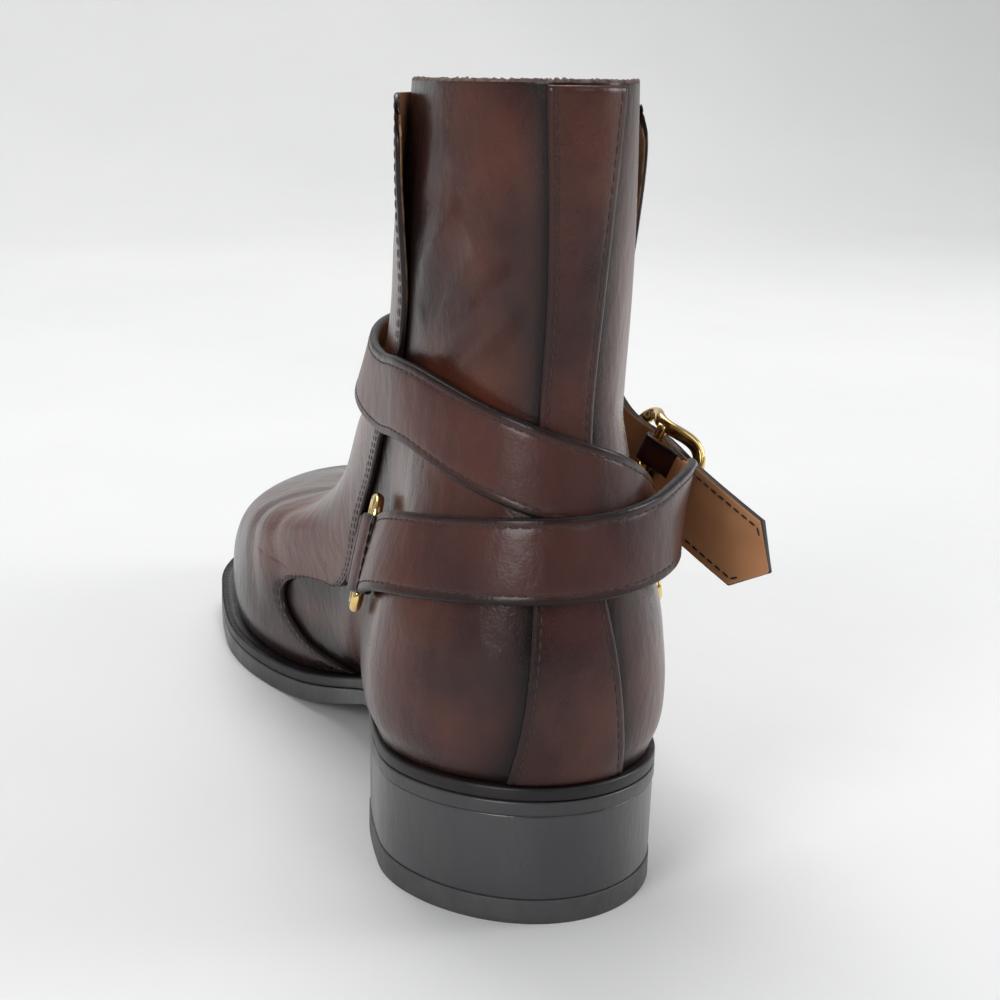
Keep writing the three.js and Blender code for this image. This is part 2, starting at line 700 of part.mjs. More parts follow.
const POINT_SHARES = [0.999, 0.5, 0.02];

/** Band of constant width and thickness along a path. Its last stretch may narrow to a point. */
function band(path, { width = STRAP_WIDTH, thickness = STRAP_THICKNESS, steps, point = 0 }) {
  const distances = [0];
  for (let i = 1; i < path.length; i += 1) {
    distances.push(distances[i - 1] + path[i].at.distanceTo(path[i - 1].at));
  }
  const total = distances.at(-1);
  const through = (key) => ['x', 'y', 'z'].map((axis) => (
    curveThrough(distances, path.map((row) => row[key][axis]))
  ));
  const [place, side] = [through('at'), through('across')];
  const read = (curves, distance) => vector(...curves.map((curve) => curve(distance)));
  const nudge = 0.05;
  const stations = spaced(0, total, steps);
  if (point > 0) stations.splice(-1, 1, ...POINT_SHARES.map((share) => total - point * share));
  const ordered = [...new Set(stations)].sort((a, b) => a - b);
  return bodyOf(ordered.map((distance) => {
    const at = read(place, distance);
    const travel = read(place, distance + nudge).sub(read(place, distance - nudge)).normalize();
    const out = travel.clone().cross(read(side, distance)).normalize();
    const across = out.clone().cross(travel);
    const half = (width / 2) * (point > 0 ? Math.min(1, (total - distance) / point) : 1);
    const corner = (a, b) => at.clone()
      .addScaledVector(across, a * half)
      .addScaledVector(out, b * thickness / 2);
    return [corner(-1, -1), corner(1, -1), corner(1, 1), corner(-1, 1)];
  }));
}

/** End of a strap folded round a wire. along points from the wire to the strap. */
function fold({ wire, along, across, width = STRAP_WIDTH, thickness = STRAP_THICKNESS, tail = FOLD_TAIL }) {
  const hole = (WIRE + WIRE_PLAY) / 2 + GAP;
  const outer = hole + PLY;
  const out = across.clone().cross(along).normalize();
  const profile = new THREE.Shape();
  profile.moveTo(tail, -thickness / 2);
  profile.lineTo(tail, thickness / 2);
  profile.lineTo(0, outer);
  profile.absarc(0, 0, outer, Math.PI / 2, 1.5 * Math.PI, false);
  profile.lineTo(tail, -thickness / 2);
  profile.holes.push(new THREE.Path().absarc(0, 0, hole, 0, 2 * Math.PI, true));
  const body = new THREE.ExtrudeGeometry(profile, { depth: width, bevelEnabled: false, curveSegments: 8 });
  const sideways = along.clone().cross(out);
  return body.applyMatrix4(placed(wire.clone().addScaledVector(sideways, -width / 2), along, out));
}

/** Ring's place on the side of the boot, with its straps' directions and the middles of its two limbs. */
function ringPlace({ turn, up, tilt }) {
  const height = up * ANKLE_HEIGHT;
  const { along, up: rise, out, seat } = directionsAt(turn, height, RING_HEIGHT / 2);
  const angle = THREE.MathUtils.degToRad(tilt);
  const backwards = along.multiplyScalar(-Math.sign(turn));
  const strap = backwards.clone()
    .multiplyScalar(Math.cos(angle))
    .addScaledVector(rise, Math.sin(angle))
    .normalize();
  const across = out.clone().cross(strap).multiplyScalar(-Math.sign(turn)).normalize();
  const centre = seat.addScaledVector(out, RING_STAND);
  const limb = (RING_WIDTH - WIRE) / 2;
  return {
    centre, strap, across, out,
    back: centre.clone().addScaledVector(strap, limb),
    front: centre.clone().addScaledVector(strap, -limb),
  };
}

/** Oblong wire ring with round corners. */
function ring({ centre, strap, across, out }) {
  const half = new THREE.Vector2(RING_WIDTH - WIRE, RING_HEIGHT - WIRE).divideScalar(2);
  const corners = [[1, 1], [-1, 1], [-1, -1], [1, -1]];
  const points = corners.flatMap(([a, b], corner) => spaced(0, 1, 4).map((share) => {
    const angle = (corner + share) * (Math.PI / 2);
    return centre.clone()
      .addScaledVector(strap, a * (half.x - RING_CORNER) + RING_CORNER * Math.cos(angle))
      .addScaledVector(across, b * (half.y - RING_CORNER) + RING_CORNER * Math.sin(angle));
  }));
  return closedSweep(points, () => out, circle(WIRE / 2, 8));
}

/** Leather ear that holds a ring: a fold round its front limb and a tab that ends at the front piece. */
function ear({ front, strap, across }) {
  const forward = strap.clone().negate();
  const placeBy = (distance, sideways) => {
    const probe = front.clone().addScaledVector(forward, distance).addScaledVector(across, sideways);
    return skinPlace(THREE.MathUtils.radToDeg(Math.atan2(probe.x, LEG_AXIS - probe.y)), probe.z);
  };
  const half = STRAP_WIDTH / 2 - EAR_MARGIN;
  const tab = laid(spaced(EAR_FOLD, EAR_LENGTH, 8).map((distance) => (
    spaced(-half, half, 4).map((sideways) => placeBy(distance, sideways))
  )));
  const meets = placeBy(EAR_LANDING, 0);
  const slope = band([
    { at: front.clone().addScaledVector(forward, EAR_TAIL - GAP), across },
    { at: offUpper(meets.angle, meets.level, GAP + OVERLAY * 0.6), across },
  ], { width: 2 * half, thickness: OVERLAY, steps: 2 });
  const loop = fold({
    wire: front, along: forward, across, width: 2 * half, thickness: OVERLAY, tail: EAR_TAIL,
  });
  return cut(joined(loop, slope, tab), frontBlock(GAP), shell(GAP, -2 * WALL));
}

const medialRing = ringPlace(MEDIAL_RING);
const lateralRing = ringPlace(LATERAL_RING);

/** The buckle's bar, and its directions: back along the wrap strap, across it and outwards. */
function bucklePlace() {
  const height = BUCKLE.up * ANKLE_HEIGHT;
  const { out } = directionsAt(BUCKLE.turn, height, STRAP_WIDTH / 2);
  const [swing, drop, lean] = [BUCKLE.swing, BUCKLE.drop, BUCKLE.lean].map(THREE.MathUtils.degToRad);
  const back = vector(
    Math.sin(swing) * Math.cos(drop), -Math.cos(swing) * Math.cos(drop), -Math.sin(drop),
  );
  const upright = vector(0, 0, 1).applyAxisAngle(vector(0, 1, 0), lean);
  const out2 = upright.clone().cross(back).normalize();
  const across = back.clone().cross(out2).normalize();
  const bar = skin(BUCKLE.turn, height).addScaledVector(out, BUCKLE_STAND);
  return { bar, back, across, out: out2 };
}

const buckle = bucklePlace();
const atBuckle = (along, across, out) => buckle.bar.clone()
  .addScaledVector(buckle.back, along)
  .addScaledVector(buckle.across, across)
  .addScaledVector(buckle.out, out);
const buckleReach = (BUCKLE_LENGTH - BUCKLE_BAND) / 2;
const buckleHalf = (BUCKLE_HEIGHT - BUCKLE_BAND) / 2;
const underFrame = BUCKLE_RISE - BUCKLE_PLATE / 2 - 3 * GAP - STRAP_THICKNESS / 2;
const overBar = (WIRE + WIRE_PLAY) / 2 + GAP + PLY + GAP + STRAP_THICKNESS / 2;

const BUCKLE_STEPS = 36;
const BUCKLE_SQUARE = { along: 0.6, across: 0.8, rise: 0.8 };
const CHAMFER = { wide: 0.6, thick: 0.4 };

/** Oval frame with its ends raised off the bar across its middle. */
function buckleFrame() {
  const squared = (value, power) => Math.sign(value) * Math.abs(value) ** power;
  const points = spaced(0, 2 * Math.PI, BUCKLE_STEPS).slice(0, -1).map((angle) => {
    const along = buckleReach * squared(Math.cos(angle), BUCKLE_SQUARE.along);
    const across = buckleHalf * squared(Math.sin(angle), BUCKLE_SQUARE.across);
    return atBuckle(along, across, BUCKLE_RISE * step(Math.abs(along), 0, buckleReach * BUCKLE_SQUARE.rise));
  });
  const [a, b] = [BUCKLE_BAND / 2, BUCKLE_PLATE / 2];
  const [c, d] = [a * CHAMFER.wide, b * CHAMFER.thick];
  const section = [[-a, -d], [-c, -b], [c, -b], [a, -d], [a, d], [c, b], [-c, b], [-a, d]];
  const frame = closedSweep(points, () => buckle.out, section);
  const bar = new THREE.CylinderGeometry(WIRE / 2, WIRE / 2, 2 * buckleHalf, 10);
  bar.applyMatrix4(placed(buckle.bar, buckle.back, buckle.across));
  return joined(frame, bar);
}

const PRONG_STEPS = 24;

/** Prong hooked under the bar, up through the wrap strap and down on the frame's front end. The line's
 * points are counted along the buckle and off its bar. */
function buckleProng() {
  const hook = WIRE / 2 + GAP + PRONG / 2;
  const rest = BUCKLE_RISE + BUCKLE_PLATE / 2 + GAP + PRONG / 2;
  const overStrap = overBar + STRAP_THICKNESS / 2 + GAP + PRONG / 2;
  const line = [
    [hook * 0.9, hook * 0.35], [hook * 0.7, -hook * 0.7], [0, -hook], [-hook * 0.75, -hook * 0.7],
    [-hook, 0], [-hook - 0.4, overBar * 0.75], [-hook - 1.2, overStrap * 0.93],
    [-hook - 4.5, (overStrap + rest) / 2], [-buckleReach - PRONG, rest],
  ];
  const path = new THREE.CatmullRomCurve3(line.map(([along, out]) => atBuckle(along, 0, out)));
  const section = new THREE.Shape(circle(PRONG / 2, 8).map(([x, y]) => new THREE.Vector2(x, y)));
  return new THREE.ExtrudeGeometry(section, { extrudePath: path, steps: PRONG_STEPS, bevelEnabled: false });
}

const BAND_START = FOLD_TAIL * 0.6;
const SKIN_STEPS = { strap: 22, wrap: 44 };
const BAND_STEPS = { strap: 42, wrap: 72 };

/** First point of a strap's band, in the fold at its ring. */
const bandStart = ({ back, strap: direction, across }) => (
  { at: back.clone().addScaledVector(direction, BAND_START), across }
);

/** Lower strap: from the medial ring round the heel to the buckle's bar, where it has the prong's slot. */
function strap() {
  const path = [
    bandStart(medialRing),
    ...skinPath(STRAP_LINE, SKIN_STEPS.strap),
    { at: atBuckle(buckleReach, 0, underFrame - STRAP_THICKNESS - GAP * 2), across: buckle.across },
    { at: atBuckle(BAND_START, 0, 0), across: buckle.across },
  ];
  const cheek = (STRAP_WIDTH - PRONG_SLOT) / 2;
  const cheeks = [-1, 1].map((side) => fold({
    wire: atBuckle(0, side * (STRAP_WIDTH - cheek) / 2, 0),
    along: buckle.back,
    across: buckle.across,
    width: cheek,
  }));
  const ringFold = fold({ wire: medialRing.back, along: medialRing.strap, across: medialRing.across });
  return joined(band(path, { steps: BAND_STEPS.strap }), ringFold, ...cheeks);
}

/** Upper strap: from the lateral ring up across the back, round the front, through the buckle, to its tip. */
function wrapStrap() {
  const path = [
    bandStart(lateralRing),
    ...skinPath(WRAP_LINE, SKIN_STEPS.wrap),
    { at: atBuckle(-buckleReach, 0, underFrame), across: buckle.across },
    { at: atBuckle(0, 0, overBar), across: buckle.across },
    { at: atBuckle(buckleReach, 0, underFrame), across: buckle.across },
    { at: atBuckle(buckleReach + TIP_LENGTH / 2, 0, underFrame - TIP_SAG), across: buckle.across },
    { at: atBuckle(buckleReach + TIP_LENGTH, 0, underFrame), across: buckle.across },
  ];
  const whole = joined(
    band(path, { steps: BAND_STEPS.wrap, point: STRAP_POINT }),
    fold({ wire: lateralRing.back, along: lateralRing.strap, across: lateralRing.across }),
  );
  const hook = WIRE / 2 + GAP + PRONG / 2;
  const punch = new THREE.CylinderGeometry(PRONG_HOLE / 2, PRONG_HOLE / 2, 3 * STRAP_THICKNESS, 12);
  punch.applyMatrix4(placed(atBuckle(-hook - GAP * 3, 0, overBar), buckle.back, buckle.out));
  return cut(whole, punch);
}

const LEATHER = { color: 0x5a3730, roughness: 0.35, metalness: 0 };
const EDGE = { color: 0x2a2524, roughness: 0.45, metalness: 0 };
const HEEL = { color: 0x454344, roughness: 0.5, metalness: 0 };
const RUBBER = { color: 0x2f2e30, roughness: 0.8, metalness: 0 };
const LINING = { color: 0x9c7048, roughness: 0.7, metalness: 0 };
const BRASS = { color: 0xd6bb62, roughness: 0.2, metalness: 1 };

const PIECES = [
  ['outsole', outsole, EDGE],
  ['welt', welt, EDGE],
  ['heel_rand', heelRand, EDGE],
  ['heel_stack', heelStack, HEEL],
  ['heel_top_lift', topLift, RUBBER],
  ['insole', insole, LINING],
  ['upper', upper, LEATHER],
  ['vamp_and_flap', frontPiece, LEATHER],
  ['back_strip', backStrip, LEATHER],
  ['ear_medial', () => ear(medialRing), LEATHER],
  ['ear_lateral', () => ear(lateralRing), LEATHER],
  ['ring_medial', () => ring(medialRing), BRASS],
  ['ring_lateral', () => ring(lateralRing), BRASS],
  ['strap', strap, LEATHER],
  ['wrap_strap', wrapStrap, LEATHER],
  ['buckle_frame', buckleFrame, BRASS],
  ['buckle_prong', buckleProng, BRASS],
];

const boot = new THREE.Group();
for (const [name, make, finish] of PIECES) {
  const mesh = new THREE.Mesh(make(), new THREE.MeshStandardMaterial(finish));
  mesh.name = name;
  boot.add(mesh);
}
boot.position.y = -HEEL_LENGTH / 2;

export default boot;
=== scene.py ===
"""Looks of a right ankle boot with a front flap, a wrap strap and a brass buckle.

Lengths are millimetres in the boot's own frame, with the back of the heel at y = 0, and become metres
once, in build(). The surfaces are worked out from the same sizes as the solids that they replace. Creases,
camera, floor and lights are placed one by one, the last three in metres.
"""

import logging
from dataclasses import dataclass, field
from enum import Enum
from typing import Callable

import bmesh
import bpy
import numpy as np
from mathutils import Matrix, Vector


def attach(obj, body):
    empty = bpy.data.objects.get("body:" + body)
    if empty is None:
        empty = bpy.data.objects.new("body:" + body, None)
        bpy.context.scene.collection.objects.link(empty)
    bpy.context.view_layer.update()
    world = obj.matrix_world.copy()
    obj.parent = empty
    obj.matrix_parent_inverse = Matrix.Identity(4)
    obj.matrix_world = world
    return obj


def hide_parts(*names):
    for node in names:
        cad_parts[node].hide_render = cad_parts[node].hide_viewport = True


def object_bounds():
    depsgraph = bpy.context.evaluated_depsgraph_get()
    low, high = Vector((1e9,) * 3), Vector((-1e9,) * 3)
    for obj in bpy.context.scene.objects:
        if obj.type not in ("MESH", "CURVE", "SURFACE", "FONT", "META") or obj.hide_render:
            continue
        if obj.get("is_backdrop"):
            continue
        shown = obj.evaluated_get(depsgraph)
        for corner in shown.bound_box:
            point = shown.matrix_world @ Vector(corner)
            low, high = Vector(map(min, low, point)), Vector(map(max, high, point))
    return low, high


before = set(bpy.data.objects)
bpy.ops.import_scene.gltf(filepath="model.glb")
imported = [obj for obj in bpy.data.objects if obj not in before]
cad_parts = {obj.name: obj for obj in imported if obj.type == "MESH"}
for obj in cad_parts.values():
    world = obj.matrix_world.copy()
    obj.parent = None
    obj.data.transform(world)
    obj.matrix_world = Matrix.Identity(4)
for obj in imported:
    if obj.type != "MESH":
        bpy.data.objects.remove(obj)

Array = np.ndarray
Reader = Callable[[Array], Array]
Colour = tuple[float, float, float]
Place = tuple[float, float, float]

log = logging.getLogger("boot")
MM = 0.001  # metres in a millimetre
GAP = 0.3  # between pieces that meet
LAID = 0.4  # between leathers that lie on each other
JOIN = 2e-6  # metres within which points become one
HEEL_LENGTH = 72.0
FLAP_TOP = 0.985  # level of the flap's top edge
FRONT_FOOT = 0.006  # level of the front piece's lower edge
STRIP_TOP = 0.995  # level of the back strip's top edge
COLLAR_SPAN = 264.0  # millimetres that the levels from 0 to 1 count as
DARKEST = 0.92  # most of the burnish and painted shade that any place takes
HALVINGS = 22


def curve_through(xs: Array, ys: Array) -> Reader:
    """Smooth curve through points: cubic pieces whose slope at a point is the mean of its two chords.

    Args:
        xs: rising places of the points.
        ys: values at those places.
    Returns:
        A function that reads the curve for a whole array of places.
    """
    xs, ys = np.asarray(xs, float), np.asarray(ys, float)
    chords = np.diff(ys) / np.diff(xs)
    slopes = np.concatenate([chords[:1], (chords[:-1] + chords[1:]) / 2, chords[-1:]])

    def read(x: Array) -> Array:
        """Value of the curve: a soft step between two points plus their slopes' share.

        Args:
            x: places to read.
        Returns:
            The curve's values there.
        """
        i = np.clip(np.searchsorted(xs, x, side="left") - 1, 0, len(xs) - 2)
        span = xs[i + 1] - xs[i]
        s = np.clip((x - xs[i]) / span, 0, 1)
        bend = span * s * (1 - s) * (slopes[i] * (1 - s) - slopes[i + 1] * s)
        return ys[i] + (ys[i + 1] - ys[i]) * s * s * (3 - 2 * s) + bend

    return read


def round_end(distance: Array, length: Array) -> Array:
    """Quarter ellipse that rises from 0 at the end itself to 1 at `length` from it."""
    left = 1 - np.minimum(1, np.maximum(0, distance) / length)
    return np.sqrt(1 - left * left)


def soft_step(x: Array, low: float, high: float) -> Array:
    """Soft step from 0 at `low` to 1 at `high`: three squares less two cubes."""
    s = np.clip((x - low) / (high - low), 0, 1)
    return s * s * (3 - 2 * s)


def mix(a: Array, b: Array, share: Array) -> Array:
    """Straight mix of two arrays: a at share 0 and b at share 1."""
    return a + (b - a) * share


def unit(vectors: Array) -> Array:
    """Vectors of the last axis divided by their lengths."""
    return vectors / np.maximum(np.linalg.norm(vectors, axis=-1, keepdims=True), 1e-12)


def hump(distance: Array, width: float) -> Array:
    """Bell that is 1 at distance 0 and falls off over `width`."""
    return np.exp(-((distance / width) ** 2))


def solve(rising: Reader, value: Array, low: Array, high: Array) -> Array:
    """Bisects a rising function of whole arrays for the places where it reaches its values.

    Args:
        rising: function that grows with its place.
        value: values that it has to reach.
        low: places where it is still under them.
        high: places where it is past them.
    Returns:
        The place for each value.
    """
    low, high = np.broadcast_arrays(np.asarray(low, float), np.asarray(high, float))
    for _ in range(HALVINGS):
        middle = (low + high) / 2
        under = rising(middle) < value
        low, high = np.where(under, middle, low), np.where(under, high, middle)
    return (low + high) / 2


def distances(path: Array) -> Array:
    """Distance along a path up to each of its points: the sum of the chords before it."""
    return np.concatenate([[0], np.cumsum(np.linalg.norm(np.diff(path, axis=0), axis=1))])


def full_turn(count: int) -> Array:
    """Even angles round a circle, without its end."""
    return np.linspace(0, 2 * np.pi, count, endpoint=False)


def smooth_path(along: Array, points: Array, at: Array) -> Array:
    """Smooth curve through points, one coordinate after the other, read at places along it."""
    return np.stack([curve_through(along, column)(at) for column in points.T], -1)


def squared(wave: Array, power: float) -> Array:
    """Cosine or sine drawn out to the corners of a square: its size to a power, with its own sign."""
    return np.sign(wave) * np.abs(wave) ** power


def carried(path: Array, aside: Array, up: Array, section: tuple[Array, Array]) -> Array:
    """Rows of a section carried along a path: its first value goes aside and its second one up."""
    a, b = section
    return path[:, None] + aside[:, None] * a[None, :, None] + up[:, None] * b[None, :, None]


class Ends(Enum):
    """How the first and last loops of a grid are closed."""

    LADDER = "ladder"
    ENDLESS = "endless"
    MERGED = "merged"


@dataclass
class Solid:
    """Points, quads, material numbers and named marks of one closed form, in millimetres."""

    points: Array
    quads: Array
    slots: Array
    marks: dict[str, Array] = field(default_factory=dict)


def loft(
    rows: Array, ends: Ends = Ends.LADDER, slots: Array | None = None, marks: dict[str, Array] | None = None
) -> Solid:
    """Closed form through rows of points: each row is a loop and joins the next row by quads.

    A ladder closes an end by quads between the loop's second half and its first. The quads are turned
    outwards by the sign of the volume that they enclose.

    Args:
        rows: points of shape rows, columns, 3.
        ends: how the two ends are closed.
        slots: material number of each column.
        marks: values of each point, by name.
    Returns:
        The form with its faces.
    """
    count, loop = rows.shape[:2]
    turns = count if ends is Ends.ENDLESS else count - 1
    row, column = np.meshgrid(np.arange(turns), np.arange(loop), indexing="ij")
    after, along = (row + 1) % count, (column + 1) % loop
    quads = np.stack(
        [row * loop + column, row * loop + along, after * loop + along, after * loop + column], -1
    ).reshape(-1, 4)
    columns = np.zeros(loop, int) if slots is None else np.asarray(slots, int)
    numbers = np.broadcast_to(columns, (turns, loop)).ravel()
    if ends is Ends.LADDER:
        k = np.arange(loop // 2 - 1)
        first = np.stack([k, loop - 1 - k, loop - 2 - k, k + 1], -1)
        last = (count - 1) * loop + first[:, ::-1]
        quads = np.concatenate([quads, first, last])
        numbers = np.concatenate([numbers, np.full(2 * len(k), columns[0])])
    points = rows.reshape(-1, 3)
    a, b, c, d = (points[quads[:, i]] for i in range(4))
    volume = np.sum(a * np.cross(b, c)) + np.sum(a * np.cross(c, d))
    if volume < 0:
        quads = quads[:, ::-1]
    values = {name: np.broadcast_to(mark, rows.shape[:2]).ravel() for name, mark in (marks or {}).items()}
    return Solid(points, quads, numbers, values)


def build(name: str, solids: list[Solid], finishes: list, nodes: list[str]) -> bpy.types.Object:
    """Makes one piece from closed forms, in metres, and gives it to the frame.

    Args:
        name: plain name of the piece.
        solids: the forms that the piece is made of.
        finishes: materials, in the order of the forms' material numbers.
        nodes: solids of the frame that the piece stands for.
    Returns:
        The piece, riding on the root body.
    """
    starts = np.cumsum([0] + [len(solid.points) for solid in solids])
    points = np.concatenate([solid.points for solid in solids])
    quads = np.concatenate([solid.quads + start for solid, start in zip(solids, starts)])
    mesh = bpy.data.meshes.new(name)
    mesh.from_pydata((points - [0, HEEL_LENGTH / 2, 0]) * MM, [], quads)
    mesh.polygons.foreach_set("material_index", np.concatenate([solid.slots for solid in solids]))
    for mark in sorted({key for solid in solids for key in solid.marks}):
        values = [solid.marks.get(mark, np.zeros(len(solid.points))) for solid in solids]
        mesh.attributes.new(mark, "FLOAT", "POINT").data.foreach_set("value", np.concatenate(values))
    merge(mesh)
    for finish in finishes:
        mesh.materials.append(finish)
    piece = bpy.data.objects.new(name, mesh)
    bpy.context.scene.collection.objects.link(piece)
    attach(piece, "root")
    if nodes:
        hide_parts(*nodes)
    log.info("%s: %d faces", name, len(mesh.polygons))
    return piece


def merge(mesh: bpy.types.Mesh) -> None:
    """Joins the points that lie on each other and shades the mesh smooth.

    Args:
        mesh: mesh of one piece.
    """
    work = bmesh.new()
    work.from_mesh(mesh)
    bmesh.ops.remove_doubles(work, verts=work.verts, dist=JOIN)
    work.to_mesh(mesh)
    work.free()
    mesh.shade_smooth()


class Graph:
    """A material's nodes, added and linked by short calls."""

    def __init__(self, name: str) -> None:
        """Starts a material with one surface shader.

        Args:
            name: plain name of the finish.
        """
        self.material = bpy.data.materials.new(name)
        self.material.use_nodes = True
        self.tree = self.material.node_tree
        self.shader = self.tree.nodes["Principled BSDF"]
        self.place = self.add("ShaderNodeTexCoord").outputs["Object"]

    def add(self, kind: str, inputs: dict | None = None, **settings: object) -> bpy.types.Node:
        """Adds a node, sets it, and links or sets its inputs by name or number.

        Args:
            kind: Blender's name for the node's type.
            inputs: outputs or values, by the input's name or number.
            settings: the node's own settings.
        Returns:
            The node.
        """
        node = self.tree.nodes.new(kind)
        for key, value in settings.items():
            setattr(node, key, value)
        for key, value in (inputs or {}).items():
            self.feed(node.inputs[key], value)
        return node

    def feed(self, socket: bpy.types.NodeSocket, value: object) -> None:
        """Links a socket to an output, or sets its value.

        Args:
            socket: input of a node.
            value: output to link to it, or a value.
        """
        if isinstance(value, bpy.types.NodeSocket):
            self.tree.links.new(value, socket)
        else:
            socket.default_value = value

    def surface(self, **values: object) -> None:
        """Sets the shader's inputs, whose names are given with low lines for spaces."""
        for key, value in values.items():
            self.feed(self.shader.inputs[key.replace("_", " ").title().replace("Ior", "IOR")], value)

    def noise(self, scale: float, detail: float = 3, stretch: Place = (1, 1, 1)) -> object:
        """Noise on the object's own coordinates, in cells of a metre over the scale."""
        spot = self.add("ShaderNodeMapping", {"Vector": self.place, "Scale": stretch}).outputs[0]
        inputs = {"Vector": spot, "Scale": scale, "Detail": detail}
        return self.add("ShaderNodeTexNoise", inputs).outputs["Fac"]

    def mark(self, name: str) -> object:
        """Reads one of the mesh's marks."""
        return self.add("ShaderNodeAttribute", attribute_name=name).outputs["Fac"]

    def span(self, value: object, low: float, high: float, to_low: float, to_high: float) -> object:
        """Maps a range onto another and stays inside it."""
        inputs = {"Value": value, "From Min": low, "From Max": high, "To Min": to_low, "To Max": to_high}
        return self.add("ShaderNodeMapRange", inputs).outputs[0]

    def times(self, a: object, b: object) -> object:
        """Product of two numbers."""
        return self.add("ShaderNodeMath", {0: a, 1: b}, operation="MULTIPLY").outputs[0]

    def plus(self, a: object, b: object) -> object:
        """Sum of two numbers."""
        return self.add("ShaderNodeMath", {0: a, 1: b}, operation="ADD").outputs[0]

    def blend(self, share: object, a: object, b: object) -> object:
        """Mix of two colours.

        Args:
            share: 0 for the first colour, 1 for the second.
            a: first colour.
            b: second colour.
        Returns:
            The mixed colour.
        """
        node = self.add("ShaderNodeMix", data_type="RGBA")
        for number, value in ((0, share), (6, a), (7, b)):
            colour = (*value, 1) if isinstance(value, tuple) else value
            self.feed(node.inputs[number], colour)
        return node.outputs[2]

    def bump(self, height: object, depth: float, under: object | None = None) -> object:
        """Raises the surface by a height map, `depth` metres for its whole range.

        Args:
            height: height map.
            depth: metres that its whole range stands for.
            under: normal that it is laid on, if there is one.
        Returns:
            The new normal.
        """
        node = self.add("ShaderNodeBump", {"Height": height, "Distance": depth, "Strength": 1.0})
        if under is not None:
            self.feed(node.inputs["Normal"], under)
        return node.outputs[0]


@dataclass(frozen=True)
class Leather:
    """Polished calf with a hand-rubbed patina: warm where it was thinned, near black at the seams, with
    painted shade from a mesh mark.
    """

    name: str
    base: Colour = (0.05, 0.0145, 0.0115)
    warm: Colour = (0.115, 0.034, 0.02)
    dark: Colour = (0.021, 0.0075, 0.007)
    burnt_and_shade: Colour = (0.0055, 0.0038, 0.0042)
    # near-black colour of the burnish and of the painted shade that the mesh's mark lays on
    gloss: float = 0.25
    pore: float = 1300.0

    def material(self) -> bpy.types.Material:
        """Patina from two broad noises, burnish and painted shade from the mesh's marks, pores and hair folds
        by bump.

        Returns:
            The material of the leather.
        """
        graph = Graph(self.name)
        clouds = graph.noise(19, 4)
        rubbed = graph.noise(42, 5, (1.0, 1.0, 0.35))
        warmth = graph.span(graph.plus(clouds, graph.times(rubbed, 0.35)), 0.58, 0.82, 0.0, 1.0)
        depth = graph.span(graph.noise(33, 3), 0.38, 0.62, 0.0, 0.75)
        colour = graph.blend(depth, self.base, self.dark)
        colour = graph.blend(graph.times(warmth, 0.85), colour, self.warm)
        # burnish and painted shade: the mesh's mark darkens the colour towards near black
        colour = graph.blend(graph.mark("burnish"), colour, self.burnt_and_shade)
        speckle = graph.noise(2600, 2)
        pores = graph.noise(self.pore, 2)
        folds = graph.noise(210, 5, (1.0, 1.0, 0.6))
        sheen = graph.span(rubbed, 0.3, 0.7, self.gloss - 0.05, self.gloss + 0.08)
        rough = graph.plus(sheen, graph.times(speckle, 0.05))
        normal = graph.bump(folds, 0.00035)
        normal = graph.bump(pores, 0.000055, normal)
        graph.surface(base_color=colour, roughness=rough, normal=normal)
        shine = graph.span(graph.mark("burnish"), 0.0, 1.0, 0.32, 0.18)
        graph.surface(coat_weight=0.11, coat_roughness=0.15, specular_ior_level=shine)
        return graph.material


@dataclass(frozen=True)
class Plain:
    """Finish of one colour with a mottle, a grain and its own gloss."""

    name: str
    base: Colour
    other: Colour
    rough: float
    scale: float = 60.0
    stretch: Place = (1.0, 1.0, 1.0)
    grain: float = 900.0
    depth: float = 0.00006
    metallic: float = 0.0
    coat: float = 0.0
    shine: float = 0.5
    rise: tuple[float, float] | None = None

    def material(self) -> bpy.types.Material:
        """Mottle of two near colours, roughness that follows it, and a fine grain by bump.

        Returns:
            The material of the finish.
        """
        graph = Graph(self.name)
        mottle = graph.noise(self.scale, 4, self.stretch)
        share = graph.span(mottle, 0.35, 0.65, 0.0, 1.0)
        if self.rise:
            height = graph.add("ShaderNodeSeparateXYZ", {0: graph.place}).outputs["Z"]
            share = graph.times(graph.span(height, *self.rise, 0.0, 1.0), graph.plus(share, 0.4))
        colour = graph.blend(share, self.base, self.other)
        rough = graph.span(mottle, 0.3, 0.7, self.rough - 0.06, self.rough + 0.06)
        normal = graph.bump(graph.noise(self.grain, 3, self.stretch), self.depth)
        graph.surface(base_color=colour, roughness=rough, normal=normal)
        graph.surface(metallic=self.metallic, specular_ior_level=self.shine)
        graph.surface(coat_weight=self.coat, coat_roughness=0.2)
        return graph.material


UPPER_LEATHER = Leather("mahogany_calf")
STRAP_LEATHER = Leather("strap_calf", base=(0.045, 0.0135, 0.0115), warm=(0.085, 0.025, 0.017), gloss=0.32)
LINING = Plain("natural_lining", (0.64, 0.31, 0.145), (0.5, 0.23, 0.1), 0.62, 45, grain=1500)
RAW_EDGE = Plain("raw_edge", (0.15, 0.105, 0.085), (0.06, 0.036, 0.03), 0.9, 420, grain=1700, depth=0.0005)
PAINTED_EDGE = Plain("painted_edge", (0.01, 0.007, 0.007), (0.018, 0.012, 0.011), 0.42, 200, shine=0.25)
FLAP_EDGE = Plain(
    "flap_edge", (0.012, 0.009, 0.009), (0.3, 0.17, 0.09), 0.6, 300, shine=0.3, rise=(0.13, 0.175)
)
SOLE_EDGE = Plain(
    "sole_edge", (0.042, 0.04, 0.043), (0.032, 0.03, 0.033), 0.37, 90, (1, 1, 0.4), 600, 0.0001
)
WELT = Plain("waxed_welt", (0.008, 0.0065, 0.007), (0.014, 0.011, 0.0115), 0.42, 160, shine=0.35)
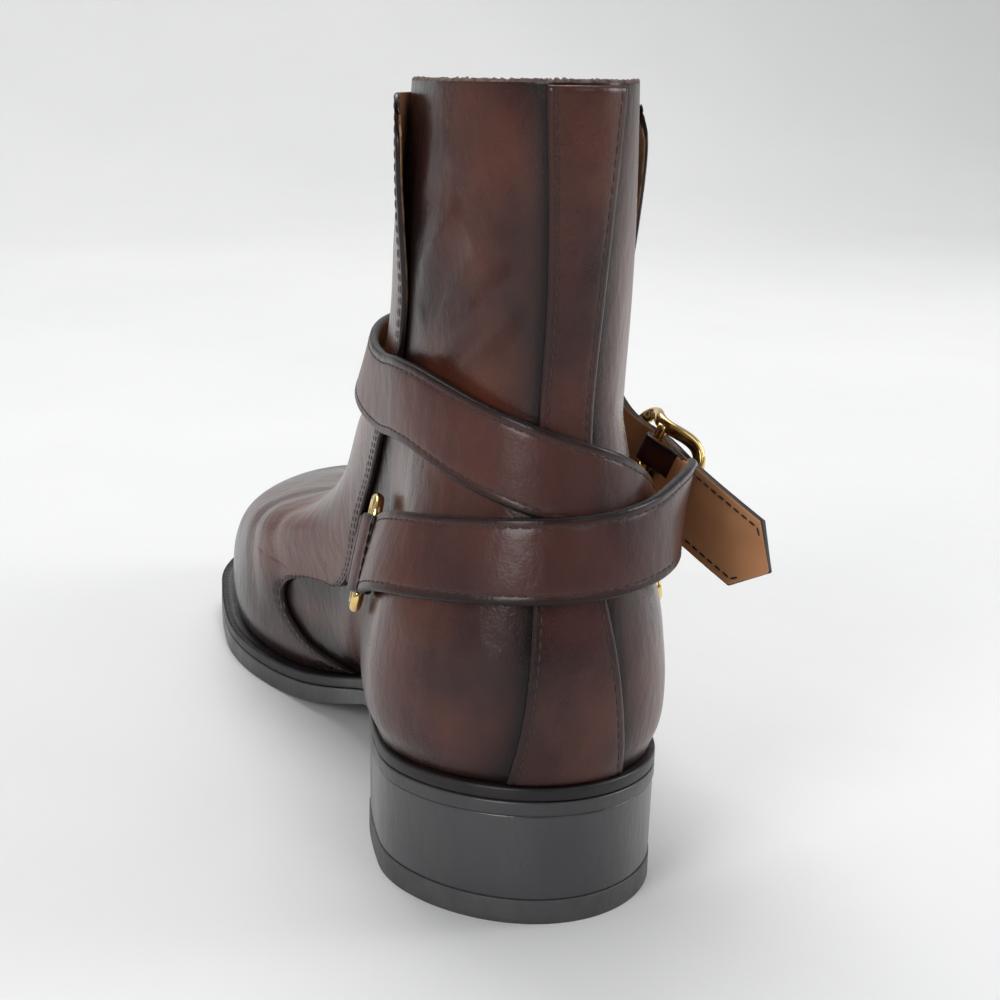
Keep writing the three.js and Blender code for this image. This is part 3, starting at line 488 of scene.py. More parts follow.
HEEL = Plain(
    "heel_dressing", (0.042, 0.04, 0.043), (0.032, 0.03, 0.034), 0.32, 70, (1, 1, 0.3), 500, 0.00012,
    coat=0.25,
)
TOP_LIFT = Plain(
    "top_lift", (0.058, 0.055, 0.058), (0.046, 0.044, 0.047), 0.5, 150, grain=700, depth=0.00015
)
BRASS = Plain(
    "brass", (0.86, 0.63, 0.26), (0.8, 0.56, 0.21), 0.15, 90, grain=300, depth=0.00002, metallic=1.0
)
THREAD = Plain("thread", (0.03, 0.016, 0.014), (0.018, 0.01, 0.009), 0.6, 900, grain=2500, depth=0.00008)
CLOTH = Plain("white_cloth", (0.74, 0.74, 0.735), (0.69, 0.69, 0.687), 0.9, 2.2, grain=9, depth=0.004)


@dataclass
class Sole:
    """The sole's plan and heights, and the pieces that stand on the floor."""

    length: float = 304.0
    widths: dict[str, float] = field(
        default_factory=lambda: {"heel": 71.0, "waist": 65.0, "ball": 104.0, "toe": 61.0}
    )
    at_heel: float = 3.5
    at_ball: float = 5.5
    welt_thickness: float = 3.2
    ledge: float = 4.6
    welt_width: float = 10.0
    rand_width: float = 4.2
    tread_back: float = 182.0
    tread_length: float = 18.0
    toe_spring: float = 10.0
    seat: float = 31.0
    pitch: float = 3.0
    top_lift: float = 6.0
    taper: float = 0.7
    hollow: float = 2.5
    knurl: float = 1.35
    notch: float = 0.42
    seam: float = 0.03

    SIDES = 420
    OUTLINE = (
        (0.00, "heel", 0.479, 0.465), (0.06, "heel", 0.493, 0.475), (0.12, "heel", 0.500, 0.479),
        (0.20, "heel", 0.479, 0.486), (0.30, "waist", 0.446, 0.554), (0.38, "waist", 0.408, 0.592),
        (0.46, "waist", 0.438, 0.662), (0.55, "ball", 0.365, 0.466), (0.64, "ball", 0.457, 0.505),
        (0.71, "ball", 0.490, 0.510), (0.78, "ball", 0.488, 0.479), (0.86, "toe", 0.795, 0.700),
        (0.93, "toe", 0.745, 0.545), (1.00, "toe", 0.700, 0.400),
    )

    def __post_init__(self) -> None:
        """Makes the curves of both half widths along the sole."""
        along = [row[0] for row in self.OUTLINE]
        self.medial = curve_through(along, [row[2] * self.widths[row[1]] for row in self.OUTLINE])
        self.lateral = curve_through(along, [row[3] * self.widths[row[1]] for row in self.OUTLINE])
        self.breast = float(np.arccos(1 - 2 * HEEL_LENGTH / self.length))

    def centre(self, share: Array) -> Array:
        """Middle line of the sole: half the difference of its half widths."""
        return (self.lateral(share) - self.medial(share)) / 2

    def half(self, share: Array) -> Array:
        """Mean of the two half widths."""
        return (self.lateral(share) + self.medial(share)) / 2

    def edge(self, angle: Array, inset: Array = 0.0) -> Array:
        """Edge of the sole in plan at angles round it, moved in by `inset`.

        The place along is half of one less the angle's cosine, the half width is the side's curve times
        a quarter ellipse at both ends, and the way in is the edge's direction turned by a right angle.

        Args:
            angle: angles round the sole, 0 at the back and half a turn at the toe.
            inset: millimetres inwards.
        Returns:
            Points of the plan, x and y.
        """

        def place(a: Array) -> Array:
            """Point of the edge itself.

            Args:
                a: angles round the sole.
            Returns:
                Points of the plan, x and y.
            """
            share = (1 - np.cos(a)) / 2
            ends = round_end(share, 0.14) * round_end(1 - share, 0.15)
            half = np.where(np.sin(a) >= 0, self.lateral(share), -self.medial(share))
            return np.stack([half * ends, share * self.length], -1)

        tangent = unit(place(angle + 0.01) - place(angle - 0.01))
        inwards = np.stack([-tangent[..., 1], tangent[..., 0]], -1)
        return place(angle) + inwards * np.asarray(inset)[..., None]

    def bottom(self, y: Array) -> Array:
        """Underside: the pitched seat, half a cosine wave through the arch, the tread and the toe spring.

        Args:
            y: places along the boot.
        Returns:
            Heights there.
        """
        breast = self.seat - self.at_heel - self.pitch
        front = self.tread_back + self.tread_length
        seat = breast + self.pitch * (1 - y / HEEL_LENGTH)
        along = np.clip((y - HEEL_LENGTH) / (self.tread_back - HEEL_LENGTH), 0, 1)
        arch = breast * (1 + np.cos(np.pi * along)) / 2
        spring = self.toe_spring * (np.maximum(0, y - front) / (self.length - front)) ** 2
        return np.where(y < HEEL_LENGTH, seat, np.where(y < self.tread_back, arch, spring))

    def top(self, y: Array) -> Array:
        """Top of the outsole: its underside and a thickness that grows from heel to ball."""
        return self.bottom(y) + mix(self.at_heel, self.at_ball, soft_step(y, HEEL_LENGTH, self.tread_back))

    def welt_top(self, y: Array) -> Array:
        """Top of the welt and rand."""
        return self.top(y) + GAP + self.welt_thickness

    def feather(self, y: Array) -> Array:
        """Line where the upper meets the welt."""
        return self.welt_top(y) + GAP

    def inner(self, share: Array) -> Array:
        """How far in the welt or rand reaches."""
        return mix(self.rand_width, self.welt_width, soft_step(share, 0.24, 0.45))

    def slab(self, profile: list[tuple[float, float]], low: Reader, high: Reader, base: Array) -> Solid:
        """Flat piece whose side follows a profile of insets and height shares, closed on its middle line.

        Args:
            profile: inset and share of the height for each row, from the underside to the top.
            low: height of the underside along the boot.
            high: height of the top.
            base: inset of the whole piece at every angle.
        Returns:
            The closed form.
        """
        angles = full_turn(self.SIDES)

        def row(inset: float, share: float, inwards: float) -> Array:
            """One loop: the edge at an inset, drawn towards the middle line.

            Args:
                inset: millimetres inwards.
                share: share of the height.
                inwards: 0 on the edge, 1 on the middle line.
            Returns:
                Points of the loop.
            """
            here = self.edge(angles, base + inset)
            there = self.edge(2 * np.pi - angles, np.roll(base[::-1], 1) + inset)
            y = (here[:, 1] + there[:, 1]) / 2
            x = mix(here[:, 0], (here[:, 0] + there[:, 0]) / 2, inwards)
            return np.stack([x, y, mix(low(y), high(y), share)], -1)

        caps = (1.0, 0.66, 0.33)
        rows = [row(*profile[0], share) for share in caps]
        rows += [row(inset, share, 0.0) for inset, share in profile]
        rows += [row(*profile[-1], share) for share in caps[::-1]]
        return loft(np.array(rows), Ends.MERGED)

    def stretch(self, start: float, stop: float, count: int, knurled: bool) -> Solid:
        """Ring between outsole and upper, its top edge wheeled with small notches where asked.

        Args:
            start: angle at which it begins.
            stop: angle at which it ends.
            count: number of sections.
            knurled: whether the top edge is wheeled.
        Returns:
            The closed form.
        """
        angles = np.linspace(start, stop, count)[:, None]
        width = self.inner((1 - np.cos(angles)) / 2)
        half = [(0.45, 0.0), (0.12, 0.05), (0.0, 0.2), (0.0, 0.5), (0.0, 0.8), (0.12, 0.95), (0.45, 1.0)]
        insets = np.concatenate([
            width, mix(width, 0.45, 0.6), *[np.full_like(width, inset) for inset, _ in half],
            np.full_like(width, 1.5), np.full_like(width, 2.4), np.full_like(width, 3.2),
            mix(width, 0.45, 0.3), width, width,
        ], 1)
        shares = np.array([0, 0, *[share for _, share in half], 1, 1, 1, 1, 1, 0.5])
        path = self.edge(angles[:, 0])
        length = distances(path)[:, None]
        notch = 0.5 + 0.5 * np.cos(2 * np.pi * length / self.knurl)
        band = np.array([0, 0, 0, 0, 0, 0, 0.2, 0.7, 1, 1, 0.8, 0, 0, 0, 0]) * (1.0 if knurled else 0.0)
        edge = self.edge(np.broadcast_to(angles, insets.shape), insets + 0.14 * notch * band)
        low = self.top(edge[..., 1]) + GAP
        z = mix(low, self.welt_top(edge[..., 1]), shares) - self.notch * notch * band
        rows = np.concatenate([edge, z[..., None]], -1)
        return loft(np.concatenate([rows, rows[:, -1:]], 1))

    def heel_slab(self, low: float, high: Reader, insets: Reader) -> Solid:
        """Slice of the heel: the sole's outline round the back and a hollowed breast in front.

        Args:
            low: height of the flat underside.
            high: height of the top along the boot.
            insets: how far inside the sole's outline the side stands, by the share of the height.
        Returns:
            The closed form.
        """
        back = np.linspace(-self.breast, self.breast, 200)
        across = np.linspace(-1, 1, 48)[1:-1]
        shares = np.array([0.0, 0.01, 0.03, 0.25, 0.4, 0.5, 0.6, 0.75, 0.97, 0.99, 1.0])
        rows = []
        for share in shares:
            bevel = 0.22 * (1 - round_end(share, 0.03) * round_end(1 - share, 0.02))
            inset = insets(share) + bevel
            edge = self.edge(back, np.full(back.shape, inset))
            y = edge[-1, 1] - self.hollow * (1 - across ** 2)
            front = np.stack([mix(edge[0, 0], edge[-1, 0], (across + 1) / 2), y], -1)[::-1]
            loop = np.concatenate([edge, front])
            z = mix(low, high(loop[:, 1]), share)
            rows.append(np.concatenate([loop, z[:, None]], 1))
        middle = np.array([0.0, HEEL_LENGTH / 2])

        def cap(loop: Array, height: float | Reader) -> list[Array]:
            """Loops that shrink to the heel's middle.

            Args:
                loop: points of the outermost loop.
                height: height, or its function along the boot.
            Returns:
                The loops.
            """
            flat = [mix(loop[:, :2], middle, share) for share in (0.35, 0.7, 1.0)]
            rises = [height(p[:, 1]) if callable(height) else np.full(len(p), height) for p in flat]
            return [np.concatenate([p, rise[:, None]], 1) for p, rise in zip(flat, rises)]

        return loft(np.array([*cap(rows[0], low)[::-1], *rows, *cap(rows[-1], high)]), Ends.MERGED)

    def make(self) -> None:
        """Builds outsole, welt, rand, heel stack, top lift and insole."""
        side = [
            (1.6, 0.0), (0.3, 0.0), (0.05, 0.04), (0.0, 0.15),
            (0.0, 0.5), (0.0, 0.85), (0.05, 0.96), (0.3, 1.0),
        ]
        none = np.zeros(self.SIDES)
        build("outsole_edge", [self.slab(side, self.bottom, self.top, none)], [SOLE_EDGE.material()],
              ["outsole"])
        joint = 2 * GAP / self.length / np.sin(self.breast)
        welt = self.stretch(self.breast + joint, 2 * np.pi - self.breast - joint, 3200, True)
        build("wheeled_welt", [welt], [WELT.material()], ["welt"])
        rand = self.stretch(-self.breast, self.breast, 260, False)
        build("rand", [rand], [WELT.material()], ["heel_rand"])
        stack = self.heel_slab(
            self.top_lift + self.seam,
            lambda y: self.bottom(y) - self.seam,
            lambda share: self.taper - (self.taper - GAP) * share ** 0.7,
        )
        build("heel_block", [stack], [HEEL.material()], ["heel_stack"])
        lift = self.heel_slab(0.0, lambda y: np.full(y.shape, self.top_lift), lambda share: self.taper - 0.25)
        build("heel_lift", [lift], [TOP_LIFT.material()], ["heel_top_lift"])
        angles = full_turn(self.SIDES)
        inset = self.inner((1 - np.cos(angles)) / 2) + 0.8
        board = [(0.8, 0.0), (0.0, 0.1), (0.0, 0.75), (0.3, 0.93), (1.2, 1.0)]
        sock = self.slab(board, lambda y: self.top(y) + GAP, lambda y: self.welt_top(y) + 1.5, inset)
        build("sock_lining", [sock], [LINING.material()], ["insole"])


@dataclass(frozen=True)
class Crease:
    """Soft trough, or ridge where its depth is below zero, along a bowed line on the upper."""

    start: Place
    stop: Place
    width: float
    depth: float

    def relief(self, points: Array) -> Array:
        """Depth times a bell of the distance across the line, seen from outside, faded out at both ends.

        Args:
            points: points of the upper.
        Returns:
            How far each one is raised.
        """
        start, way = np.array(self.start), np.array(self.stop) - np.array(self.start)
        middle = start + way / 2
        inside = np.array([0, 62, middle[2]]) if middle[2] > 100 else np.array([0, middle[1], 12])
        out = unit(middle - inside)
        along = np.clip(((points - start) @ way) / (way @ way), 0, 1)
        across = (points - start) @ unit(np.cross(way, out))
        near = soft_step((points - middle) @ out, -14, -7)
        return -self.depth * hump(across, self.width) * near * np.sin(np.pi * along) ** 0.6


CREASES = (
    Crease((-22, 40, 124), (-7, 18, 150), 3.6, 1.3),
    Crease((-21, 40, 131), (-7, 19, 157), 2.6, -0.9),
    Crease((-24, 48, 140), (-16, 28, 160), 3.2, 1.1),
    Crease((-24, 50, 149), (-18, 31, 168), 2.5, -0.8),
    Crease((-25, 54, 158), (-20, 36, 178), 3.6, 0.6),
    Crease((-24, 60, 108), (-20, 22, 124), 5.0, 0.6),
    Crease((24, 60, 108), (20, 20, 122), 5.0, 0.6),
    Crease((-14, 118, 118), (14, 118, 118), 7.0, 0.6),
    Crease((-20, 128, 104), (20, 128, 104), 6.0, -0.4),
    Crease((-50, 196, 26), (-20, 208, 58), 4.0, 0.9),
    Crease((-50, 184, 28), (-22, 192, 62), 3.6, -0.5),
    Crease((-50, 172, 30), (-24, 178, 64), 4.0, 0.8),
    Crease((-26, 206, 56), (32, 204, 52), 4.5, 0.55),
    Crease((-28, 190, 60), (36, 188, 54), 4.5, -0.35),
    Crease((-30, 176, 62), (40, 172, 52), 5.0, 0.5),
    Crease((46, 176, 26), (24, 196, 56), 4.5, 0.7),
    Crease((48, 190, 22), (32, 206, 48), 4.0, -0.4),
)


@dataclass
class Last:
    """Outside of the upper, as a function of an angle round the boot and a level up it."""

    sole: Sole
    counter: float = 51.0
    ankle: float = 130.0
    collar_back: float = 198.0
    toe_box: float = 42.0
    throat: float = 126.0
    collar_front: float = 190.0
    throat_reach: float = 121.0
    collar_reach: float = 109.0
    shaft: float = 57.0
    shift: float = -0.2
    leg_axis: float = 62.0
    overlay: float = 1.5

    COLUMNS = (
        "back", "rise", "reach", "climb", "drape", "follow", "keep", "heel", "waist", "ball", "tail", "nose",
    )
    RINGS = (
        (0.035, 0.00, 0.025, 0.00, 1.00, 1.00, 1.0, 0.500, 0.500, 0.450, 0.14, 0.16),
        (0.014, 0.40, 0.008, 0.24, 0.95, 1.00, 0.3, 0.530, 0.531, 0.459, 0.15, 0.17),
        (0.000, 1.00, 0.022, 0.62, 0.75, 0.95, 0.2, 0.549, 0.553, 0.464, 0.16, 0.18),
        (0.007, 1.14, 0.130, 1.03, 0.50, 0.85, 0.1, 0.537, 0.530, 0.468, 0.17, 0.21),
        (0.028, 1.27, 0.300, 1.11, 0.35, 0.70, 0.0, 0.529, 0.507, 0.456, 0.19, 0.26),
        (0.056, 1.41, 0.490, 1.17, 0.20, 0.50, 0.0, 0.513, 0.492, 0.420, 0.22, 0.36),
        (0.090, 1.57, 0.655, 1.34, 0.10, 0.30, 0.0, 0.480, 0.485, 0.415, 0.26, 0.42),
        (0.118, 1.75, 0.785, 1.60, 0.05, 0.12, 0.0, 0.445, 0.488, 0.452, 0.30, 0.46),
        (0.136, 1.92, 0.905, 1.82, 0.00, 0.00, 0.0, 0.420, 0.470, 0.450, 0.33, 0.48),
        (0.139, 2.13, 1.050, 2.06, 0.00, 0.00, 0.0, 0.408, 0.468, 0.440, 0.35, 0.46),
        (0.132, 2.41, 1.480, 2.37, 0.00, 0.00, 0.0, 0.405, 0.468, 0.435, 0.35, 0.43),
        (0.118, 2.71, 1.800, 2.69, 0.00, 0.00, 0.0, 0.400, 0.453, 0.425, 0.36, 0.41),
        (0.111, 3.00, 2.000, 3.00, 0.00, 0.00, 0.0, 0.390, 0.436, 0.415, 0.36, 0.40),
    )

    def __post_init__(self) -> None:
        """Makes a curve up the upper for each column of the ring table."""
        heel, toe = (float(z) for z in self.sole.feather(np.array([0.0, self.sole.length])))
        self.marks = {
            "rise": [heel, self.counter, self.ankle, self.collar_back],
            "climb": [toe, self.toe_box, self.throat, self.collar_front],
            "reach": [self.sole.length, self.throat_reach, self.collar_reach],
            "back": [0.0, HEEL_LENGTH],
        }
        levels = np.linspace(0, 1, len(self.RINGS))
        self.ring = {}
        for name, column in zip(self.COLUMNS, np.array(self.RINGS).T):
            marks = self.marks.get(name)
            values = column if marks is None else np.interp(column, np.arange(len(marks)), marks)
            self.ring[name] = curve_through(levels, values)
        shares = np.array([0, 0.14, 0.42, 0.7, 1])
        self.weights = [curve_through(shares, np.eye(len(shares))[i]) for i in range(len(shares))]

    def point(self, angle: Array, level: Array) -> Array:
        """Point of the outside.

        The half width is the mix of the heel's, waist's and ball's widths at that level, the ends are
        quarter ellipses, and the bottom rings hang down to the sole's rocker by their drape.

        Args:
            angle: angles round the boot, positive on the outer side of the foot.
            level: levels from 0 at the welt to 1 at the collar.
        Returns:
            The points.
        """
        share = (1 - np.cos(angle)) / 2
        ring = {name: read(level) for name, read in self.ring.items()}
        follow = ring["follow"]
        widths = self.sole.widths
        heel = ring["heel"] * mix(self.shaft, widths["heel"], follow)
        waist = ring["waist"] * mix(self.shaft, widths["waist"], follow)
        ball = ring["ball"] * mix(self.shaft, widths["ball"], follow)
        halves = [heel, heel, waist, ball, ball * mix(0.85, 0.66, follow)]
        own = sum(half * weight(share) for half, weight in zip(halves, self.weights))
        inset = mix(1, self.sole.ledge + GAP + self.overlay, soft_step(share, 0.26, 0.5))
        half = mix(own, self.sole.half(share) - inset, ring["keep"])
        ends = round_end(share, ring["tail"]) * round_end(1 - share, ring["nose"])
        centre = mix(self.shift, self.sole.centre(share), follow) * round_end(1 - share, 0.5)
        y = mix(ring["back"], ring["reach"], share)
        z = self.height(ring, share, y)
        return np.stack([centre + np.sign(np.sin(angle)) * half * ends, y, z + 0 * half], -1)

    def height(self, ring: dict[str, Array], share: Array, y: Array) -> Array:
        """Height on a ring: the straight mix of its ends and its share of the sole's rocker."""
        rocker = self.sole.feather(y) - mix(self.marks["rise"][0], self.marks["climb"][0], share)
        return mix(ring["rise"], ring["climb"], share) + ring["drape"] * rocker

    def off(self, angle: Array, level: Array, distance: Array) -> Array:
        """Point held off the outside along its normal, with the creases, level at the bottom edge.

        Args:
            angle: angles round the boot.
            level: levels up it.
            distance: millimetres outwards.
        Returns:
            The points.
        """
        nudge = 0.004
        around = self.point(angle + nudge, level) - self.point(angle - nudge, level)
        above, below = np.minimum(1, level + nudge), np.maximum(0, level - nudge)
        up = self.point(angle, above) - self.point(angle, below)
        normal = np.cross(around, up)
        normal[..., 2] *= soft_step(level, 0, 0.08) * (1 - soft_step(level, 0.92, 1))
        points = self.point(angle, level)
        relief = sum(crease.relief(points) for crease in CREASES) * soft_step(level, 0.02, 0.1)
        return points + unit(normal) * (distance + relief)[..., None]

    def side_place(self, y: Array, z: Array) -> tuple[Array, Array]:
        """Angle on the lateral side and level of a point that is given as the side view shows it.

        Args:
            y: places along the boot.
            z: heights.
        Returns:
            The angles and the levels.
        """

        def share_at(level: Array) -> Array:
            """Share of the length at which a level's ring passes y."""
            back, reach = self.ring["back"](level), self.ring["reach"](level)
            return np.clip((y - back) / (reach - back), 0, 1)

        def height_at(level: Array) -> Array:
            """Height of the ring there."""
            ring = {name: self.ring[name](level) for name in ("rise", "climb", "drape")}
            return self.height(ring, share_at(level), y)

        level = solve(height_at, z, np.zeros_like(z), np.ones_like(z))
        return np.arccos(1 - 2 * share_at(level)), level

    def place(self, turn: Array, height: Array) -> tuple[Array, Array]:
        """Angle and level at a turn round the leg, in degrees, and a height.

        Args:
            turn: degrees round the leg, 0 at the back and positive on the outer side.
            height: heights.
        Returns:
            The angles and the levels.
        """
        side = np.where(turn < 0, -1.0, 1.0)

        def level_of(angle: Array) -> Array:
            """Level that reaches the height at an angle."""
            return solve(lambda level: self.point(angle, level)[..., 2], height, np.zeros_like(angle), 1.0)

        def turn_of(angle: Array) -> Array:
            """Turn round the leg's axis at an angle on the same side."""
            spot = self.point(side * angle, level_of(side * angle))
            return np.degrees(np.arctan2(side * spot[..., 0], self.leg_axis - spot[..., 1]))

        angle = side * solve(turn_of, np.abs(turn), np.zeros_like(turn), np.pi)
        return angle, level_of(angle)

    def directions(self, turn: Array, height: Array, reach: float) -> dict[str, Array]:
        """Directions along the turn, up and out, and where something straight and tall would lie.

        Args:
            turn: degrees round the leg.
            height: heights.
            reach: half the height of what lies there.
        Returns:
            The directions `along`, `up` and `out` and the place `seat`.
        """
        here = np.where(turn < -180, turn + 360, turn)
        turns = np.stack([here, here, np.where(here + 2 > 180, here - 358, here + 2), here - 2, here])
        heights = np.stack([height - reach, height + reach, height, height, height])
        low, high, ahead, behind, spot = self.point(*self.place(turns, heights))
        along, up = unit(ahead - behind), unit(high - low)
        out = unit(np.cross(along, up))
        hollow = np.maximum(0, np.sum(((low + high) / 2 - spot) * out, -1))
        return {"along": along, "up": up, "out": out, "seat": spot + out * hollow[..., None]}


@dataclass
class Stitching:
    """Rows of thread laid along paths, all joined in one mesh."""

    pitch: float = 3.0
    length: float = 2.3
    width: float = 0.32
    lines: list[Solid] = field(default_factory=list)

    def row(self, path: Array, normals: Array, start: float = 1.5, stop: float = 1.5) -> None:
        """Lays stitches at an even pitch on a path: each is a small capsule half sunk in the leather.

        Args:
            path: points of the seam.
            normals: directions off the leather there.
            start: distance from the path's beginning to the first stitch.
            stop: distance kept free at its end.
        """
        along = distances(path)
        if along[-1] < start + stop + self.pitch:
            return
        spots = np.arange(start, along[-1] - stop, self.pitch)

        def read(values: Array, at: Array) -> Array:
            """Rows of values at places along the path, by straight lines between its points."""
            return np.stack([np.interp(at, along, column) for column in values.T], -1)

        middle = read(path, spots)
        tangent = unit(read(path, spots + 0.5) - read(path, spots - 0.5))
        normal = unit(read(normals, spots))
        aside = unit(np.cross(tangent, normal))
        ends = np.array([-1, -0.72, 0, 0.72, 1])
        girth = np.array([0.25, 0.8, 1, 0.8, 0.25])
        turn = full_turn(6)
        grid = (
            middle[:, None, None]
            + tangent[:, None, None] * (ends * self.length / 2)[None, :, None, None]
            + aside[:, None, None] * (girth[:, None] * np.cos(turn) * self.width)[None, ..., None]
            + normal[:, None, None] * (girth[:, None] * np.sin(turn) * self.width * 0.8)[None, ..., None]
        )
        one = loft(grid[0])
        offsets = (np.arange(len(spots)) * len(one.points))[:, None, None]
        quads = (one.quads[None] + offsets).reshape(-1, 4)
        self.lines.append(Solid(grid.reshape(-1, 3), quads, np.zeros(len(quads), int)))

    def make(self) -> None:
        """Builds the piece that holds every stitch."""
        build("stitching", self.lines, [THREAD.material()], [])


@dataclass
class Upper:
    """The hollow upper, the vamp with its flap, and the strip over the back seam."""

    last: Last
    thread: Stitching
    wall: float = 1.8
    flare: float = 4.0
    flare_depth: float = 13.0
    corner: float = 6.0
    corner_fade: float = 16.0
    strip_width: float = 20.0
    strip_thickness: float = 1.2
    seams: tuple[float, float] = (2.4, 4.6)

    FLAP = (
        (0.620, 1.010), (0.520, 0.975), (0.465, 0.940), (0.446, 0.900), (0.450, 0.820), (0.463, 0.720),
        (0.500, 0.640), (0.565, 0.580), (0.650, 0.520), (0.760, 0.450), (0.865, 0.384), (1.000, 0.278),
    )
    NOTCH = (
        (0.437, 0.900), (0.467, 0.875), (0.500, 0.845), (0.540, 0.775), (0.568, 0.690), (0.577, 0.600),
        (0.568, 0.500), (0.537, 0.405), (0.490, 0.350), (0.440, 0.300),
    )
    STRIP = (
        (0.14, -0.66, 0.90), (0.23, -0.50, 0.82), (0.32, -0.40, 0.70), (0.45, -0.33, 0.44),
        (0.58, -0.29, 0.36), (0.75, -0.23, 0.47), (1.00, -0.33, 0.66),
    )

    def __post_init__(self) -> None:
        """Works out the front piece's side outline and the strip's edges."""
        flap = np.array(self.FLAP) * [self.last.throat_reach, self.last.collar_back]
        notch = np.array(self.NOTCH) * [self.last.sole.length, self.last.counter]
        self.flap_line = curve_through(flap[::-1, 1], flap[::-1, 0])
        outline = np.concatenate([flap, notch])
        count = np.arange(len(outline))
        fine = np.linspace(0, len(outline) - 1, 900)
        self.outline = smooth_path(count, outline, fine)
        heights, medial, lateral = np.array(self.STRIP).T
        z = heights * self.last.collar_back
        self.strip = [curve_through(z, side * self.strip_width) for side in (medial, lateral)]

    def from_outline(self, points: Array) -> Array:
        """Distance in the side view from the front piece's outline.

        Args:
            points: points of the upper.
        Returns:
            Distance of each one.
        """
        near = self.outline[::12]
        flat = points.reshape(-1, 3)[:, 1:]
        gap = np.linalg.norm(flat[:, None] - near[None], axis=-1).min(1)
        return gap.reshape(points.shape[:-1])

    def burnish(self, points: Array, level: Array) -> Array:
        """Dark rubbing by the strip's seams, painted shade round the front piece's edge, darker above the
        welt and at the collar.

        Args:
            points: points of the outside.
            level: their levels.
        Returns:
            How dark each one is, from 0 to 1.
        """
        z = points[..., 2]
        dark = np.zeros(z.shape)
        for side in self.strip:
            apart = np.abs(points[..., 0] - side(np.clip(z, 20, 200)))
            dark += (0.7 * np.exp(-apart / 1.8) + 0.45 * hump(apart, 8)) * (points[..., 1] < 40)
        # painted shade along the front piece's edge, where the flap stands off the shaft
        dark += 0.95 * hump(self.from_outline(points), 12)
        dark += 0.75 * np.exp(-level * COLLAR_SPAN / 9)
        dark += 0.45 * np.exp(-(1 - level) * COLLAR_SPAN / 5)
        return np.clip(dark, 0, DARKEST)

    def curl(self, points: Array) -> Array:
        """How far the flap's free edge stands off the shaft, most at its top corners.

        Args:
            points: points of the front piece.
        Returns:
            Millimetres that each one stands off.
        """
        z = points[..., 2]
        inside = np.maximum(0, points[..., 1] - self.flap_line(z)) / self.flare_depth
        rise = soft_step(z, self.last.ankle * 1.06, self.last.collar_back * 0.93)
        return self.flare * rise * np.exp(-inside ** 2)

    def shell(self) -> Solid:
        """The upper itself: its outside and its inside a wall apart, with a softened rim at the collar.

        Returns:
            The closed form, its inside with material number 1 and its raw rim with 2.
        """
        angles = full_turn(280)[:, None]
        rim = 1 - np.array([3.0, 1.6, 0.8, 0.35, 0.1, 0.0]) / COLLAR_SPAN
        levels = np.concatenate([np.linspace(0, 0.984, 146), rim])[None]
        soften = 0.55 * (1 - round_end((1 - levels) * COLLAR_SPAN, 0.9))
        outer = self.last.off(angles, levels, 0 * angles - soften)
        inner = self.last.off(angles, levels, 0 * angles - self.wall + soften)
        fuzz = np.random.default_rng(7).normal(0, 0.2, angles.shape)
        outer[:, -3:, 2] += fuzz
        inner[:, -3:, 2] += np.roll(fuzz, 3)
        rows = np.concatenate([outer, inner[:, ::-1]], 1)
        count = levels.shape[1]
        slots = np.zeros(2 * count, int)
        slots[count - 4:count + 3] = 2
        slots[count + 3:] = 1
        # marks of seam burnish and of painted shade along the front piece's edge
        dark = self.burnish(outer, np.broadcast_to(levels, outer.shape[:2]))
        return loft(rows, Ends.ENDLESS, slots, {"burnish": np.concatenate([dark, 0 * dark], 1)})

    def front(self) -> Solid:
        """Vamp and flap: rows run from the outline on one side over the front to the other side.

        In angle and level each row is a straight line from a point of the outline to the middle of the
        front, whose level falls evenly from the collar to the welt.

        Returns:
            The closed form, its inside with material number 1 and its free edge with 2.
        """
        angle, level = self.last.side_place(self.outline[:, 0], self.outline[:, 1])
        begin = int(np.argmax(level <= FLAP_TOP))
        lobe = int(np.argmax(self.outline[:, 0]))
        end = lobe + int(np.argmax(level[lobe:] < FRONT_FOOT))
        angle, level = angle[begin:end], level[begin:end]
        spots = self.last.point(angle, level)
        along = distances(spots)
        stations = np.concatenate([[0, 0.2, 0.5, 0.9, 1.5], np.linspace(2.5, along[-1], 236)])
        angle = np.interp(stations, along, angle)[:, None]
        level = np.interp(stations, along, level)[:, None]
        centre = mix(FLAP_TOP, FRONT_FOOT, stations / along[-1])[:, None]
        length = self.row_length(angle, level, centre)
        rim = np.array([0.0, 0.12, 0.35, 0.7, 1.1, 1.8, 2.6, 3.6])
        inside = np.linspace(0, 1, 54)[1:]
        first = rim[-1] / length
        half = np.concatenate([rim / length, first + (1 - first) * inside], 1)
        sides = []
        for side in (1, -1):
            angles = mix(angle, np.pi, half)
            angles = angles if side > 0 else 2 * np.pi - angles
            sides.append((angles, mix(level, centre, half), half * length))
        (a, l, e), (a2, l2, e2) = sides
        angles = np.concatenate([a, a2[:, -2::-1]], 1)
        levels = np.concatenate([l, l2[:, -2::-1]], 1)
        edge = np.concatenate([e, e2[:, -2::-1]], 1)
        top = np.maximum(0, (FLAP_TOP - levels) * COLLAR_SPAN)
        corner = self.corner - np.sqrt(self.corner ** 2 - np.maximum(0, self.corner - edge) ** 2)
        levels = levels - corner / COLLAR_SPAN * (1 - soft_step(stations[:, None], 0, self.corner_fade))
        points = self.last.point(angles, levels)
        lift = LAID + self.curl(points)
        thick = self.last.overlay * mix(0.3, 1, np.minimum(round_end(edge, 1.0), round_end(top + 0.05, 1.0)))
        groove = 0.16 * hump(edge - self.seams[0], 0.5)
        outer = self.last.off(angles, levels, lift + thick - groove)
        inner = self.last.off(angles, levels, lift)
        self.sew_front(angle, level, centre, length)
        dark = 0.85 * np.exp(-edge / 5) + 0.75 * np.exp(-levels * COLLAR_SPAN / 9) + 0.4 * np.exp(-top / 4)
        # darker towards the toe, and painted shade on the toe's low side below its lit top
        toe = 0.8 * soft_step(points[..., 1], 195, 262)
